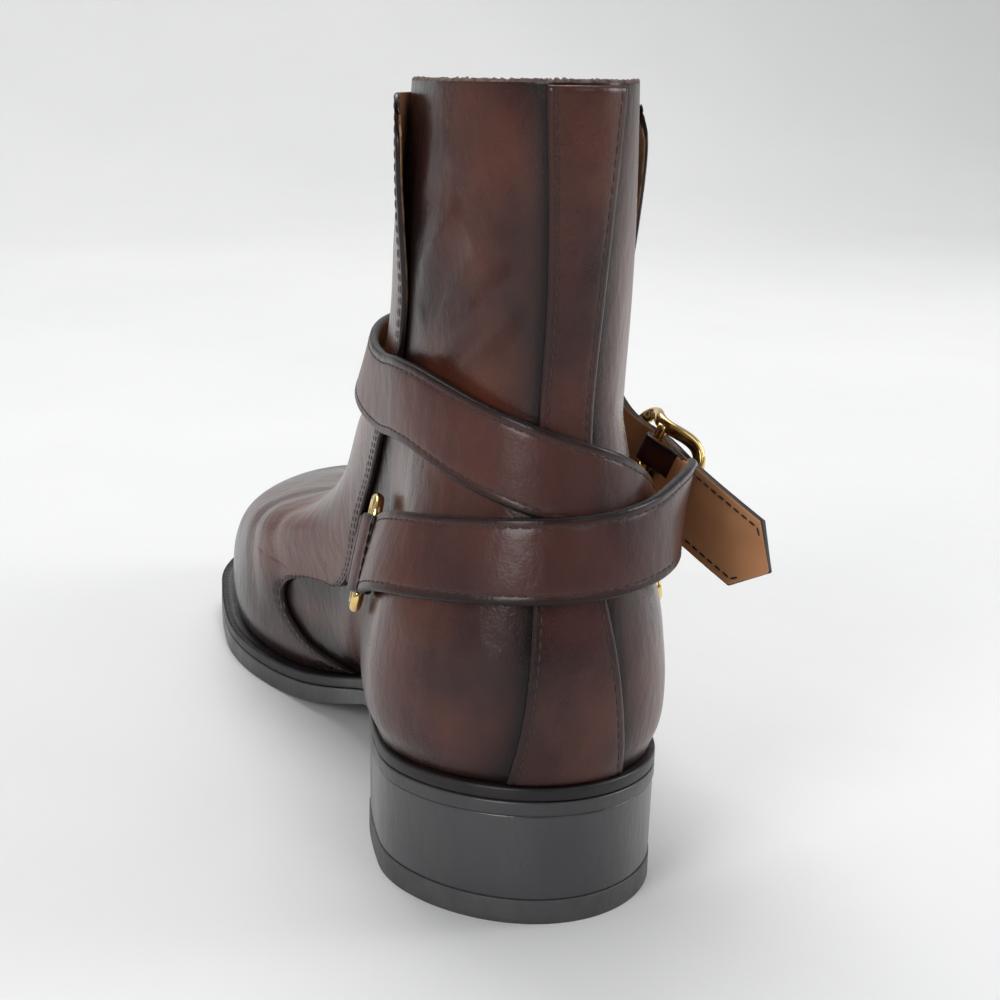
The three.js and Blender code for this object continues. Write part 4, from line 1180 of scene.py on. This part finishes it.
        toe += 0.75 * (1 - soft_step(points[..., 2], 24, 48)) * soft_step(points[..., 1], 120, 190)
        dark = np.clip(dark + toe, 0, DARKEST)
        slots = np.concatenate([np.zeros(angles.shape[1], int), np.ones(angles.shape[1], int)])
        slots[angles.shape[1] - 1] = 2
        slots[-1] = 2
        rows = np.concatenate([outer, inner[:, ::-1]], 1)
        return loft(rows, Ends.LADDER, slots, {"burnish": np.concatenate([dark, 0 * dark], 1)})

    def row_length(self, angle: Array, level: Array, centre: Array) -> Array:
        """Length of a row's first step, scaled to the whole row.

        Args:
            angle: angles of the rows' beginnings.
            level: levels there.
            centre: levels of the rows at the middle of the front.
        Returns:
            Length of each row.
        """
        step = 0.01
        ahead = self.last.point(mix(angle, np.pi, step), mix(level, centre, step))
        apart = ahead - self.last.point(angle, level)
        return np.maximum(np.linalg.norm(apart, axis=-1) / step, 30)

    def sew_front(self, angle: Array, level: Array, centre: Array, length: Array) -> None:
        """Double row of stitches inside the front piece's edge, on both sides.

        Args:
            angle: angles of the rows' beginnings.
            level: levels there.
            centre: levels of the rows at the middle of the front.
            length: length of each row.
        """
        for inset in self.seams:
            share = inset / length
            for side in (1, -1):
                turned = mix(angle, np.pi, share)
                turned = turned if side > 0 else 2 * np.pi - turned
                up = mix(level, centre, share)
                lift = LAID + self.curl(self.last.point(turned, up)) + self.last.overlay - 0.1
                low = self.last.off(turned, up, lift)[:, 0]
                high = self.last.off(turned, up, lift + 1)[:, 0]
                self.thread.row(low, high - low, 4, 4)

    def back(self) -> Solid:
        """Strip over the back seam, thinned towards both edges, with a row of stitches inside each.

        Returns:
            The closed form.
        """
        rim = np.array([1.6, 1.0, 0.6, 0.3, 0.1, 0.0]) / COLLAR_SPAN
        levels = np.concatenate([np.linspace(0, 0.986, 210), STRIP_TOP - rim])[:, None]
        z = self.last.point(np.zeros_like(levels), levels)[..., 2]
        medial, lateral = self.strip[0](z), self.strip[1](z)
        rim = np.array([0.0, 0.15, 0.45, 0.9, 1.5, 2.1, 2.8])
        width = lateral - medial
        left = rim / width
        inside = mix(left[:, -1:], 1 - left[:, -1:], np.linspace(0, 1, 12)[1:-1])
        shares = np.concatenate([left, inside, 1 - left[:, ::-1]], 1)
        x = mix(medial, lateral, shares)
        high = np.broadcast_to(levels, x.shape)
        angle = solve(lambda a: self.last.point(a, high)[..., 0], x, np.full(x.shape, -1.3), 1.3)
        edge = np.minimum(shares, 1 - shares) * width
        ends = round_end(edge, 1.3) * round_end((STRIP_TOP - high) * COLLAR_SPAN, 1.5)
        thick = self.strip_thickness * mix(0.12, 1, ends) - 0.14 * hump(edge - 2.1, 0.4)
        outer = self.last.off(angle, high, 0.15 + thick)
        inner = self.last.off(angle, high, 0 * x + 0.05)
        above = self.last.off(angle, high, 3 + 0 * x)
        for column in (5, -6):
            self.thread.row(outer[:, column], above[:, column] - outer[:, column], 3, 2)
        dark = 0.8 * np.exp(-edge / 2.0) + 0.7 * np.exp(-high * COLLAR_SPAN / 9)
        dark = np.clip(dark, 0, DARKEST)
        rows = np.concatenate([outer, inner[:, ::-1]], 1)
        return loft(rows, Ends.LADDER, None, {"burnish": np.concatenate([dark, dark], 1)})

    def make(self) -> None:
        """Builds the upper, the front piece and the back strip."""
        leather, lining, raw = UPPER_LEATHER.material(), LINING.material(), RAW_EDGE.material()
        build("upper_shell", [self.shell()], [leather, lining, raw], ["upper"])
        edge = FLAP_EDGE.material()
        build("vamp_flap", [self.front()], [leather, lining, edge], ["vamp_and_flap"])
        build("seam_strip", [self.back()], [leather], ["back_strip"])


@dataclass
class Straps:
    """Two straps with their rings, ears and buckle."""

    last: Last
    thread: Stitching
    width: float = 20.0
    thickness: float = 2.4
    point: float = 9.0
    tip: float = 36.0
    tip_sag: float = 0.6
    ply: float = 1.3
    tail: float = 9.0
    wire: float = 3.0
    play: float = 0.2
    ring_height: float = 31.0
    ring_width: float = 14.0
    ring_corner: float = 3.4
    ring_stand: float = 3.6
    ear_margin: float = 1.0
    buckle_height: float = 31.0
    buckle_length: float = 29.0
    buckle_rise: float = 6.0
    buckle_band: float = 3.6
    buckle_plate: float = 2.4
    buckle_stand: float = 10.4
    prong: float = 2.2

    LOWER = (
        (-80, 0.581, 0.4, 0), (-67, 0.605, 0.3, 0), (-52, 0.630, 0.2, 0), (-32, 0.656, 0.4, 0),
        (-16, 0.675, 1.8, 0), (-3, 0.685, 3.0, 0), (12, 0.690, 3.3, 0.1), (32, 0.692, 4.6, 0.25),
        (50, 0.690, 6.7, 0.60), (70, 0.683, 8.8, 0.90),
    )
    WRAP = (
        (76, 0.605, 0.4, 0), (55, 0.650, 0.0, 0), (30, 0.720, 0.0, 0), (5, 0.808, 0.0, 0),
        (-20, 0.872, 0.0, 0), (-45, 0.902, 0.2, 0), (-70, 0.904, 0.5, 0), (-95, 0.893, 0.8, 0),
        (-125, 0.893, 1.6, 0), (-155, 0.895, 1.4, 0), (-180, 0.878, 0.8, 0), (-194, 0.850, 1.2, 0),
        (-207, 0.805, 7.8, 0.2),
    )
    MEDIAL_RING = (-106.0, 0.556, 13.0)
    LATERAL_RING = (95.0, 0.563, 27.0)
    BUCKLE = {"turn": 118.0, "up": 0.695, "swing": 27.0, "drop": 21.0, "lean": 12.0}

    def __post_init__(self) -> None:
        """Places the buckle and both rings."""
        self.seat = LAID + self.last.overlay + LAID + self.thickness / 2
        spot = self.BUCKLE
        height = np.array([spot["up"] * self.last.ankle])
        turn = np.array([spot["turn"]])
        out = self.last.directions(turn, height, self.width / 2)["out"][0]
        swing, drop, lean = (np.radians(spot[key]) for key in ("swing", "drop", "lean"))
        self.back = np.array([np.sin(swing) * np.cos(drop), -np.cos(swing) * np.cos(drop), -np.sin(drop)])
        upright = np.array([np.sin(lean), 0, np.cos(lean)])
        self.out = unit(np.cross(upright, self.back))
        self.across = unit(np.cross(self.back, self.out))
        self.bar = self.last.point(*self.last.place(turn, height))[0] + out * self.buckle_stand
        self.reach = (self.buckle_length - self.buckle_band) / 2
        self.half = (self.buckle_height - self.buckle_band) / 2
        self.under = self.buckle_rise - self.buckle_plate / 2 - 3 * GAP - self.thickness / 2
        self.over_bar = (self.wire + self.play) / 2 + GAP + self.ply + GAP + self.thickness / 2
        self.medial = self.ring_place(*self.MEDIAL_RING)
        self.lateral = self.ring_place(*self.LATERAL_RING)

    def at_buckle(self, along: Array, across: Array, out: Array) -> Array:
        """Point counted along the buckle, across it and off its bar."""
        along, across, out = (np.asarray(value, float)[..., None] for value in (along, across, out))
        return self.bar + self.back * along + self.across * across + self.out * out

    def ring_place(self, turn: float, up: float, tilt: float) -> dict[str, Array]:
        """Ring's middle, its directions and the middles of its two limbs.

        Args:
            turn: degrees round the leg.
            up: height as a share of the ankle's.
            tilt: degrees by which the strap's way rises.
        Returns:
            Places `centre`, `back` and `front` and directions `strap`, `across` and `out`.
        """
        height = np.array([up * self.last.ankle])
        found = self.last.directions(np.array([turn]), height, self.ring_height / 2)
        along, rise, out, seat = (found[key][0] for key in ("along", "up", "out", "seat"))
        angle, side = np.radians(tilt), np.sign(turn)
        strap = unit(-side * along * np.cos(angle) + rise * np.sin(angle))
        across = unit(np.cross(out, strap) * -side)
        centre = seat + out * self.ring_stand
        limb = (self.ring_width - self.wire) / 2
        return {
            "centre": centre, "strap": strap, "across": across, "out": out,
            "back": centre + strap * limb, "front": centre - strap * limb,
        }

    def line(self, rows: tuple, steps: int) -> tuple[Array, Array]:
        """Places and directions across of a strap's middle line, read from its table at even turns.

        Args:
            rows: table of turn, height share, distance off and share of the buckle's lean.
            steps: number of steps.
        Returns:
            The places and the directions across.
        """
        turn, up, off, free = np.array(rows, float).T
        way = np.sign(turn[-1] - turn[0])
        turns = np.linspace(turn[0], turn[-1], steps + 1)
        up, off, free = (curve_through(turn * way, column)(turns * way) for column in (up, off, free))
        found = self.last.directions(turns, up * self.last.ankle, self.width / 2)
        at = found["seat"] + found["out"] * (self.seat + off)[:, None]
        return at, unit(mix(found["up"], self.across, free[:, None]))

    def band(
        self, at: Array, across: Array, width: float, thickness: float, outside: int,
        point: float = 0.0, sew: tuple[float, float] | None = None, pitch: float = 1.3,
    ) -> Solid:
        """Strap along a path: a crowned section with round edges set square to the path at every station.

        Args:
            at: points of the middle line.
            across: directions across the strap there.
            width: strap's width.
            thickness: strap's thickness.
            outside: 1 where travel cross across points away from the boot, else -1.
            point: length over which the last end narrows to a point.
            sew: how far from both ends the rows of stitches start and stop, or None for no stitches.
            pitch: distance between stations.
        Returns:
            The closed form, its lining side with material number 1 and its edges with 2.
        """
        distance = distances(at)
        total = distance[-1]
        stations = np.linspace(0, total, max(8, int(total / pitch)))
        if point > 0:
            stations = np.concatenate([stations[stations < total - point], total - point * np.array(
                [1.0, 0.97, 0.9, 0.75, 0.5, 0.3, 0.15, 0.07, 0.03])])
        middle = smooth_path(distance, at, stations)
        step = 0.05
        travel = unit(smooth_path(distance, at, stations + step) - smooth_path(distance, at, stations - step))
        out = unit(np.cross(travel, smooth_path(distance, across, stations)))
        aside = np.cross(out, travel)
        rim = np.array([0.03, 0.15, 0.35, 0.65, 1.0, 1.4, 1.9, 2.2, 2.5, 3.2, 5.0, 7.0])
        rim = rim[rim < width / 2 - 0.6]
        edge = np.concatenate([rim, [width / 2], rim[::-1]])
        side = np.concatenate([-np.ones(len(rim)), [0], np.ones(len(rim))])
        share = side * (1 - edge / (width / 2))
        groove = 0.14 * hump(edge - 2.2, 0.32) if sew else 0 * edge
        crown = 0.16 * (1 - share ** 2)
        height = thickness / 2 * mix(0.25, 1, round_end(edge, 0.75))
        face = height + crown - groove - 0.06
        lining = height - 0.06 * (1 - share ** 2)
        a = np.concatenate([share, share[::-1]])
        b = np.concatenate([-(lining if outside > 0 else face), (face if outside > 0 else lining)[::-1]])
        narrow = np.ones(len(stations)) if point <= 0 else np.minimum(1, (total - stations) / point)
        rows = (
            middle[:, None] + aside[:, None] * (a * width / 2)[None, :, None] * narrow[:, None, None]
            + out[:, None] * (b[None, :] * mix(0.55, 1, narrow)[:, None])[..., None]
        )
        count = len(share)
        first, second = (1, 0) if outside > 0 else (0, 1)
        slots = np.concatenate([np.full(count, first), np.full(count, second)])
        painted = np.concatenate([edge, edge[::-1]]) < 0.5
        slots[painted & np.roll(painted, -1)] = 2
        dark = np.clip(np.exp(-(np.concatenate([edge, edge[::-1]]) / 1.5) ** 2), 0, 0.9)
        if sew:
            self.sew_band(rows, out * outside, share, edge, outside, sew, point > 0)
        return loft(rows, Ends.LADDER, slots, {"burnish": np.broadcast_to(dark, rows.shape[:2])})

    def sew_band(
        self, rows: Array, out: Array, share: Array, edge: Array, outside: int, sew: tuple, pointed: bool
    ) -> None:
        """Rows of stitches near both edges of a strap's outside.

        Args:
            rows: points of the strap's sections.
            out: directions off its outside.
            share: places across the strap, from -1 to 1.
            edge: distances of those places from its edge.
            outside: 1 where the second half of a section is the outside, else -1.
            sew: how far from both ends the stitches keep.
            pointed: whether the back of the tip is sewn too.
        """
        count = len(share)
        column = int(np.argmin(np.abs(edge[: count // 2] - 2.2)))
        for place in (column, count - 1 - column):
            index = 2 * count - 1 - place if outside > 0 else place
            self.thread.row(rows[:, index], out, *sew)
            if pointed:
                index = 2 * count - 1 - index
                self.thread.row(rows[-34:, index], -out[-34:], 0, sew[1])

    def fold(
        self, wire: Array, along: Array, across: Array, width: float, thickness: float, tail: float
    ) -> Solid:
        """End of a strap round a wire: out along one ply, half a turn about the wire, back along the other.

        Args:
            wire: middle of the wire.
            along: direction away from the wire.
            across: direction along the wire.
            width: width of the fold.
            thickness: thickness of the strap behind it.
            tail: length of both plies behind the wire.
        Returns:
            The closed form.
        """
        out = unit(np.cross(across, along))
        radius = (self.wire + self.play) / 2 + GAP + self.ply / 2
        ply = min(self.ply, thickness)
        turn = np.radians(np.linspace(80, 280, 13))
        straight = tail * np.array([1.0, 0.75, 0.45])
        x = np.concatenate([straight, radius * np.cos(turn), straight[::-1]])
        low = max(0.5, thickness / 2 - ply / 2)
        lift = np.array([low, low * 1.15, mix(low, radius, 0.55)])
        y = np.concatenate([lift, radius * np.sin(turn), -lift[::-1]])
        at = wire + along * x[:, None] + out * y[:, None]
        return self.band(at, np.broadcast_to(across, at.shape), width, ply, 1, pitch=0.5)

    def sew_fold(self, ring: dict[str, Array], outside: float) -> None:
        """One row of stitches across the strap behind the fold at a ring.

        Args:
            ring: places and directions of the ring.
            outside: distance from the strap's middle line to its outside.
        """
        path = np.linspace(-self.width / 2 + 1.6, self.width / 2 - 1.6, 12)[:, None] * ring["across"]
        path = path + ring["back"] + ring["strap"] * (self.tail + 0.4) + ring["out"] * outside
        self.thread.row(path, np.broadcast_to(ring["out"], path.shape), 0.4, 0.4)

    def tube(self, path: Array, sides: int, radius: float) -> Solid:
        """Round rod along an open path, its section turned with the path's own direction.

        Args:
            path: points of the middle line.
            sides: number of sides.
            radius: radius of the rod.
        Returns:
            The closed form.
        """
        travel = unit(np.gradient(path, axis=0))
        seed = np.broadcast_to(self.out + 0.31 * self.across + 0.17 * self.back, travel.shape)
        aside = unit(np.cross(travel, seed))
        up = np.cross(aside, travel)
        turn = (np.arange(sides) + 0.5) / sides * 2 * np.pi
        return loft(carried(path, aside, up, (radius * np.cos(turn), radius * np.sin(turn))))

    def ring(self, place: dict[str, Array]) -> Solid:
        """Oblong wire ring: straight limbs joined by quarter circles.

        Args:
            place: places and directions of the ring.
        Returns:
            The closed form.
        """
        half = np.array([self.ring_width - self.wire, self.ring_height - self.wire]) / 2 - self.ring_corner
        turn = np.linspace(0, np.pi / 2, 14)
        corners = []
        for number, (a, b) in enumerate(((1, 1), (-1, 1), (-1, -1), (1, -1))):
            angle = turn + number * np.pi / 2
            x = a * half[0] + self.ring_corner * np.cos(angle)
            y = b * half[1] + self.ring_corner * np.sin(angle)
            corners.append(np.stack([x, y], -1))
        flat = np.concatenate(corners)
        path = place["centre"] + place["strap"] * flat[:, :1] + place["across"] * flat[:, 1:]
        travel = unit(np.roll(path, -1, 0) - np.roll(path, 1, 0))
        aside = unit(np.cross(travel, place["out"]))
        up = np.broadcast_to(place["out"], path.shape)
        angle, radius = full_turn(18), self.wire / 2
        return loft(carried(path, aside, up, (radius * np.cos(angle), radius * np.sin(angle))), Ends.ENDLESS)

    def ear(self, ring: dict[str, Array], outline: Array) -> list[Solid]:
        """Leather ear: a fold round the ring's front limb and a tab laid down to the front piece's edge.

        Args:
            ring: places and directions of the ring.
            outline: side view of the front piece's edge.
        Returns:
            The tab and the fold.
        """
        forward, across, front = -ring["strap"], ring["across"], ring["front"]
        half = self.width / 2 - self.ear_margin
        rim = np.array([0.03, 0.15, 0.4, 0.8, 1.3, 1.9, 2.5, 3.4])
        edge = np.concatenate([rim, np.full(5, 6.0), rim[::-1]])
        aside = np.concatenate([-half + rim, np.linspace(-half + 4.5, half - 4.5, 5), half - rim[::-1]])
        reach = np.linspace(4.5, 58, 70)[:, None]
        probe = front + forward * reach[..., None] + across * aside[None, :, None]
        turn = np.degrees(np.arctan2(probe[..., 0], self.last.leg_axis - probe[..., 1]))
        angle, level = self.last.place(turn, probe[..., 2])
        ground = self.last.point(angle, level)
        line = outline[np.argsort(outline[:, 1])]
        past = ground[..., 1] - np.interp(ground[..., 2], line[:, 1], line[:, 0]) + GAP
        last = np.argmax(past > 0, axis=0)
        last = np.where(past.max(0) > 0, np.maximum(last, 3), len(reach) - 1)
        step = np.linspace(0, 1, 26)[:, None]
        index = step * (last - 0.4)
        low = np.floor(index).astype(int)
        column = np.arange(len(aside))[None]

        def pick(grid: Array) -> Array:
            """Grid's values at the rows' own steps of the reach, by straight lines between them."""
            part = (index - low)[..., None] if grid.ndim == 3 else index - low
            return mix(grid[low, column], grid[np.minimum(low + 1, len(reach) - 1), column], part)

        rest = pick(probe)
        where = pick(np.broadcast_to(reach, past.shape))
        down = soft_step(where, 5.5, 14.0)[..., None]
        thick = self.last.overlay * mix(0.3, 1, round_end(np.broadcast_to(edge, where.shape), 0.8))
        angle, level = pick(angle), pick(level)
        laid_top = self.last.off(angle, level, 0.25 + thick)
        laid_low = self.last.off(angle, level, 0 * thick + 0.15)
        free_top = rest + ring["out"] * (thick / 2)[..., None]
        free_low = rest - ring["out"] * (thick / 2)[..., None]
        rows = np.concatenate([mix(free_top, laid_top, down), mix(free_low, laid_low, down)[:, ::-1]], 1)
        dark = np.clip(np.exp(-edge / 2.0) * 0.9, 0, 0.9)
        dark = np.broadcast_to(np.concatenate([dark, dark]), rows.shape[:2])
        for path in (rows[:, 5], rows[:, len(aside) - 6]):
            self.thread.row(path, np.broadcast_to(ring["out"], path.shape), 3, 2)
        loop = self.fold(front, forward, across, 2 * half, self.last.overlay + 0.6, 5.6)
        return [loft(rows, Ends.LADDER, None, {"burnish": dark}), loop]

    def frame(self) -> list[Solid]:
        """Buckle: a squared oval whose ends rise off the bar across its middle, and the bar itself.

        Returns:
            The frame and its bar.
        """
        angle = full_turn(180)
        along = self.reach * squared(np.cos(angle), 0.6)
        across = self.half * squared(np.sin(angle), 0.8)
        rise = self.buckle_rise * soft_step(np.abs(along), 0, self.reach * 0.8)
        path = self.at_buckle(along, across, rise)
        smooth = (np.roll(path, 1, 0) + 2 * path + np.roll(path, -1, 0)) / 4
        travel = unit(np.roll(smooth, -2, 0) - np.roll(smooth, 2, 0))
        aside = unit(np.cross(travel, self.out))
        up = np.cross(aside, travel)
        turn = full_turn(24)
        a = self.buckle_band / 2 * squared(np.cos(turn), 0.75)
        b = self.buckle_plate / 2 * squared(np.sin(turn), 0.75)
        rows = carried(smooth, aside, up, (a, b))
        bar = self.at_buckle(np.zeros(24), np.linspace(-self.half, self.half, 24), np.zeros(24))
        return [loft(rows, Ends.ENDLESS), self.tube(bar, 20, self.wire / 2)]

    def prong_rod(self) -> Solid:
        """Prong: hooked under the bar, up through the strap and down on the frame's front end.

        Returns:
            The closed form.
        """
        hook = self.wire / 2 + GAP + self.prong / 2
        rest = self.buckle_rise + self.buckle_plate / 2 + GAP + self.prong / 2
        over = self.over_bar + self.thickness / 2 + GAP + self.prong / 2
        line = np.array([
            [hook * 0.9, hook * 0.35], [hook * 0.7, -hook * 0.7], [0, -hook], [-hook * 0.75, -hook * 0.7],
            [-hook, 0], [-hook - 0.4, self.over_bar * 0.75], [-hook - 1.2, over * 0.93],
            [-hook - 4.5, (over + rest) / 2], [-self.reach - self.prong, rest],
        ])
        along = distances(line)
        fine = np.linspace(0, along[-1], 60)
        x, z = smooth_path(along, line, fine).T
        return self.tube(self.at_buckle(x, 0 * x, z), 16, self.prong / 2)

    def lower(self) -> list[Solid]:
        """Lower strap: from the medial ring round the heel to the buckle's bar.

        Returns:
            The strap, its fold at the ring and both folds at the bar.
        """
        at, across = self.line(self.LOWER, 22)
        ring = self.medial
        start = ring["back"] + ring["strap"] * self.tail * 0.6
        end = np.array([
            self.at_buckle(self.reach, 0, self.under - self.thickness - GAP * 2),
            self.at_buckle(self.tail * 0.6, 0, 0),
        ])
        at = np.concatenate([start[None], at, end])
        across = np.concatenate([ring["across"][None], across, [self.across, self.across]])
        self.sew_fold(ring, self.thickness / 2 + 0.1)
        strap = self.band(at, across, self.width, self.thickness, 1, sew=(6, 8))
        cheek = (self.width - 5.0) / 2
        cheeks = [
            self.fold(self.at_buckle(0, side * (self.width - cheek) / 2, 0), self.back, self.across, cheek,
                      self.thickness, self.tail)
            for side in (-1, 1)
        ]
        fold = self.fold(ring["back"], ring["strap"], ring["across"], self.width, self.thickness, self.tail)
        return [strap, fold, *cheeks]

    def wrap(self) -> list[Solid]:
        """Upper strap: from the lateral ring over the back and round the front to its free tip.

        Returns:
            The strap and its fold at the ring.
        """
        at, across = self.line(self.WRAP, 44)
        ring = self.lateral
        start = ring["back"] + ring["strap"] * self.tail * 0.6
        last = self.reach + self.tip
        end = np.array([
            self.at_buckle(-self.reach, 0, self.under), self.at_buckle(0, 0, self.over_bar),
            self.at_buckle(self.reach, 0, self.under),
            self.at_buckle(self.reach + self.tip / 2, 0, self.under - self.tip_sag),
            self.at_buckle(last, 0, self.under),
        ])
        at = np.concatenate([start[None], at, end])
        across = np.concatenate([ring["across"][None], across, np.tile(self.across, (5, 1))])
        self.sew_fold(ring, self.thickness / 2 + 0.1)
        strap = self.band(at, across, self.width, self.thickness, -1, point=self.point, sew=(6, 10))
        fold = self.fold(ring["back"], ring["strap"], ring["across"], self.width, self.thickness, self.tail)
        return [strap, fold]

    def make(self, outline: Array) -> None:
        """Builds the straps, ears, rings and buckle.

        Args:
            outline: side view of the front piece's edge.
        """
        looks = [STRAP_LEATHER.material(), LINING.material(), PAINTED_EDGE.material()]
        brass = [BRASS.material()]
        build("heel_strap", self.lower(), looks, ["strap"])
        build("long_strap", self.wrap(), looks, ["wrap_strap"])
        for side, place in (("medial", self.medial), ("lateral", self.lateral)):
            build(f"wire_ring_{side}", [self.ring(place)], brass, [f"ring_{side}"])
            build(f"ring_ear_{side}", self.ear(place, outline), looks, [f"ear_{side}"])
        build("buckle", self.frame(), brass, ["buckle_frame"])
        build("prong", [self.prong_rod()], brass, ["buckle_prong"])


def stand(
    name: str, data: bpy.types.ID, place: Array, right: Array, up: Array, back: Array
) -> bpy.types.Object:
    """Adds an object to the scene at a place, turned by its own three directions.

    Args:
        name: plain name of the object.
        data: camera or light that it shows.
        place: where it stands, in metres.
        right: direction of its own X.
        up: direction of its own Y.
        back: direction of its own Z.
    Returns:
        The object.
    """
    axes = np.eye(4)
    axes[:3, 0], axes[:3, 1], axes[:3, 2], axes[:3, 3] = right, up, back, place
    thing = bpy.data.objects.new(name, data)
    thing.matrix_world = Matrix(axes.tolist())
    bpy.context.scene.collection.objects.link(thing)
    return thing


@dataclass
class Studio:
    """Camera at the photo's angle, a pale floor that sweeps up behind, and soft lights."""

    lens: float = 85.0
    sensor: float = 36.0
    place: Place = (-0.1378, -0.5363, 0.238)
    right: Place = (0.97323, -0.22793, 0.02993)
    up: Place = (0.0289, 0.25046, 0.9677)
    ahead: Place = (0.22806, 0.94092, -0.25034)
    target: Place = (0.0, 0.05, 0.1)
    floor_end: float = 4.0
    bend: float = 0.6
    bend_start: float = 1.1

    LIGHTS = (
        ("window", (-0.9, -0.9, 0.6), 0.62, 9.0),
        ("side", (1.15, 0.0, 0.5), 0.6, 5.0),
        ("fill", (0.65, -1.25, 0.8), 0.9, 3.0),
        ("top", (0.1, 0.5, 1.6), 1.6, 9.5),
        ("back", (0.0, 0.95, 1.4), 1.0, 12.0),
    )

    def camera(self) -> None:
        """Sets the camera from its three directions and its place."""
        data = bpy.data.cameras.new("camera")
        data.lens, data.sensor_width = self.lens, self.sensor
        back = -np.array(self.ahead)
        bpy.context.scene.camera = stand("camera", data, self.place, self.right, self.up, back)

    def sweep(self) -> None:
        """Floor that turns up behind through a quarter circle into a backdrop."""
        turn = np.linspace(0, np.pi / 2, 24)
        far = self.floor_end
        turned = self.bend_start + self.bend * np.sin(turn)
        y = np.concatenate([[-far], turned, turned[-1:]])
        z = np.concatenate([[0.0], self.bend * (1 - np.cos(turn)), [far]])
        points = np.array([[x, b, c] for x in (-far, far) for b, c in zip(y, z)])
        count = len(y)
        faces = [(i, count + i, count + i + 1, i + 1) for i in range(count - 1)]
        mesh = bpy.data.meshes.new("sweep")
        mesh.from_pydata(points, [], faces)
        mesh.shade_smooth()
        mesh.materials.append(CLOTH.material())
        floor = bpy.data.objects.new("sweep", mesh)
        bpy.context.scene.collection.objects.link(floor)
        floor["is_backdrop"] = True

    def lights(self) -> None:
        """Area lights that face the boot, and an even grey world."""
        for name, place, size, power in self.LIGHTS:
            data = bpy.data.lights.new(name, "AREA")
            data.shape, data.size, data.energy = "DISK", size, power
            away = unit(np.array(place) - np.array(self.target))
            side = unit(np.cross([0, 0, 1], away))
            stand(name, data, place, side, np.cross(away, side), away)
        world = bpy.data.worlds.new("room")
        world.use_nodes = True
        tree = world.node_tree
        ways = tree.nodes.new("ShaderNodeSeparateXYZ")
        reach = tree.nodes.new("ShaderNodeMapRange")
        for name, value in (("From Min", -0.75), ("From Max", 0.6), ("To Min", 0.14), ("To Max", 0.75)):
            reach.inputs[name].default_value = value
        tree.links.new(tree.nodes.new("ShaderNodeTexCoord").outputs["Generated"], ways.inputs[0])
        tree.links.new(ways.outputs["Y"], reach.inputs["Value"])
        tree.links.new(reach.outputs[0], tree.nodes["Background"].inputs["Strength"])
        tree.nodes["Background"].inputs["Color"].default_value = (0.95, 0.97, 1.0, 1)
        bpy.context.scene.world = world
        bpy.context.scene.view_settings.view_transform = "Standard"

    def make(self) -> None:
        """Builds camera, floor and lights."""
        self.camera()
        self.sweep()
        self.lights()


def main() -> None:
    logging.basicConfig(level=logging.INFO)
    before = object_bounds()
    Studio().make()
    sole = Sole()
    sole.make()
    last = Last(sole)
    thread = Stitching()
    upper = Upper(last, thread)
    upper.make()
    Straps(last, thread).make(upper.outline)
    thread.make()
    plain = lambda box: [[float(value) for value in corner] for corner in box]
    {"cad": plain(before), "visual": plain(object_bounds())}


if __name__ == "__main__":
    main()
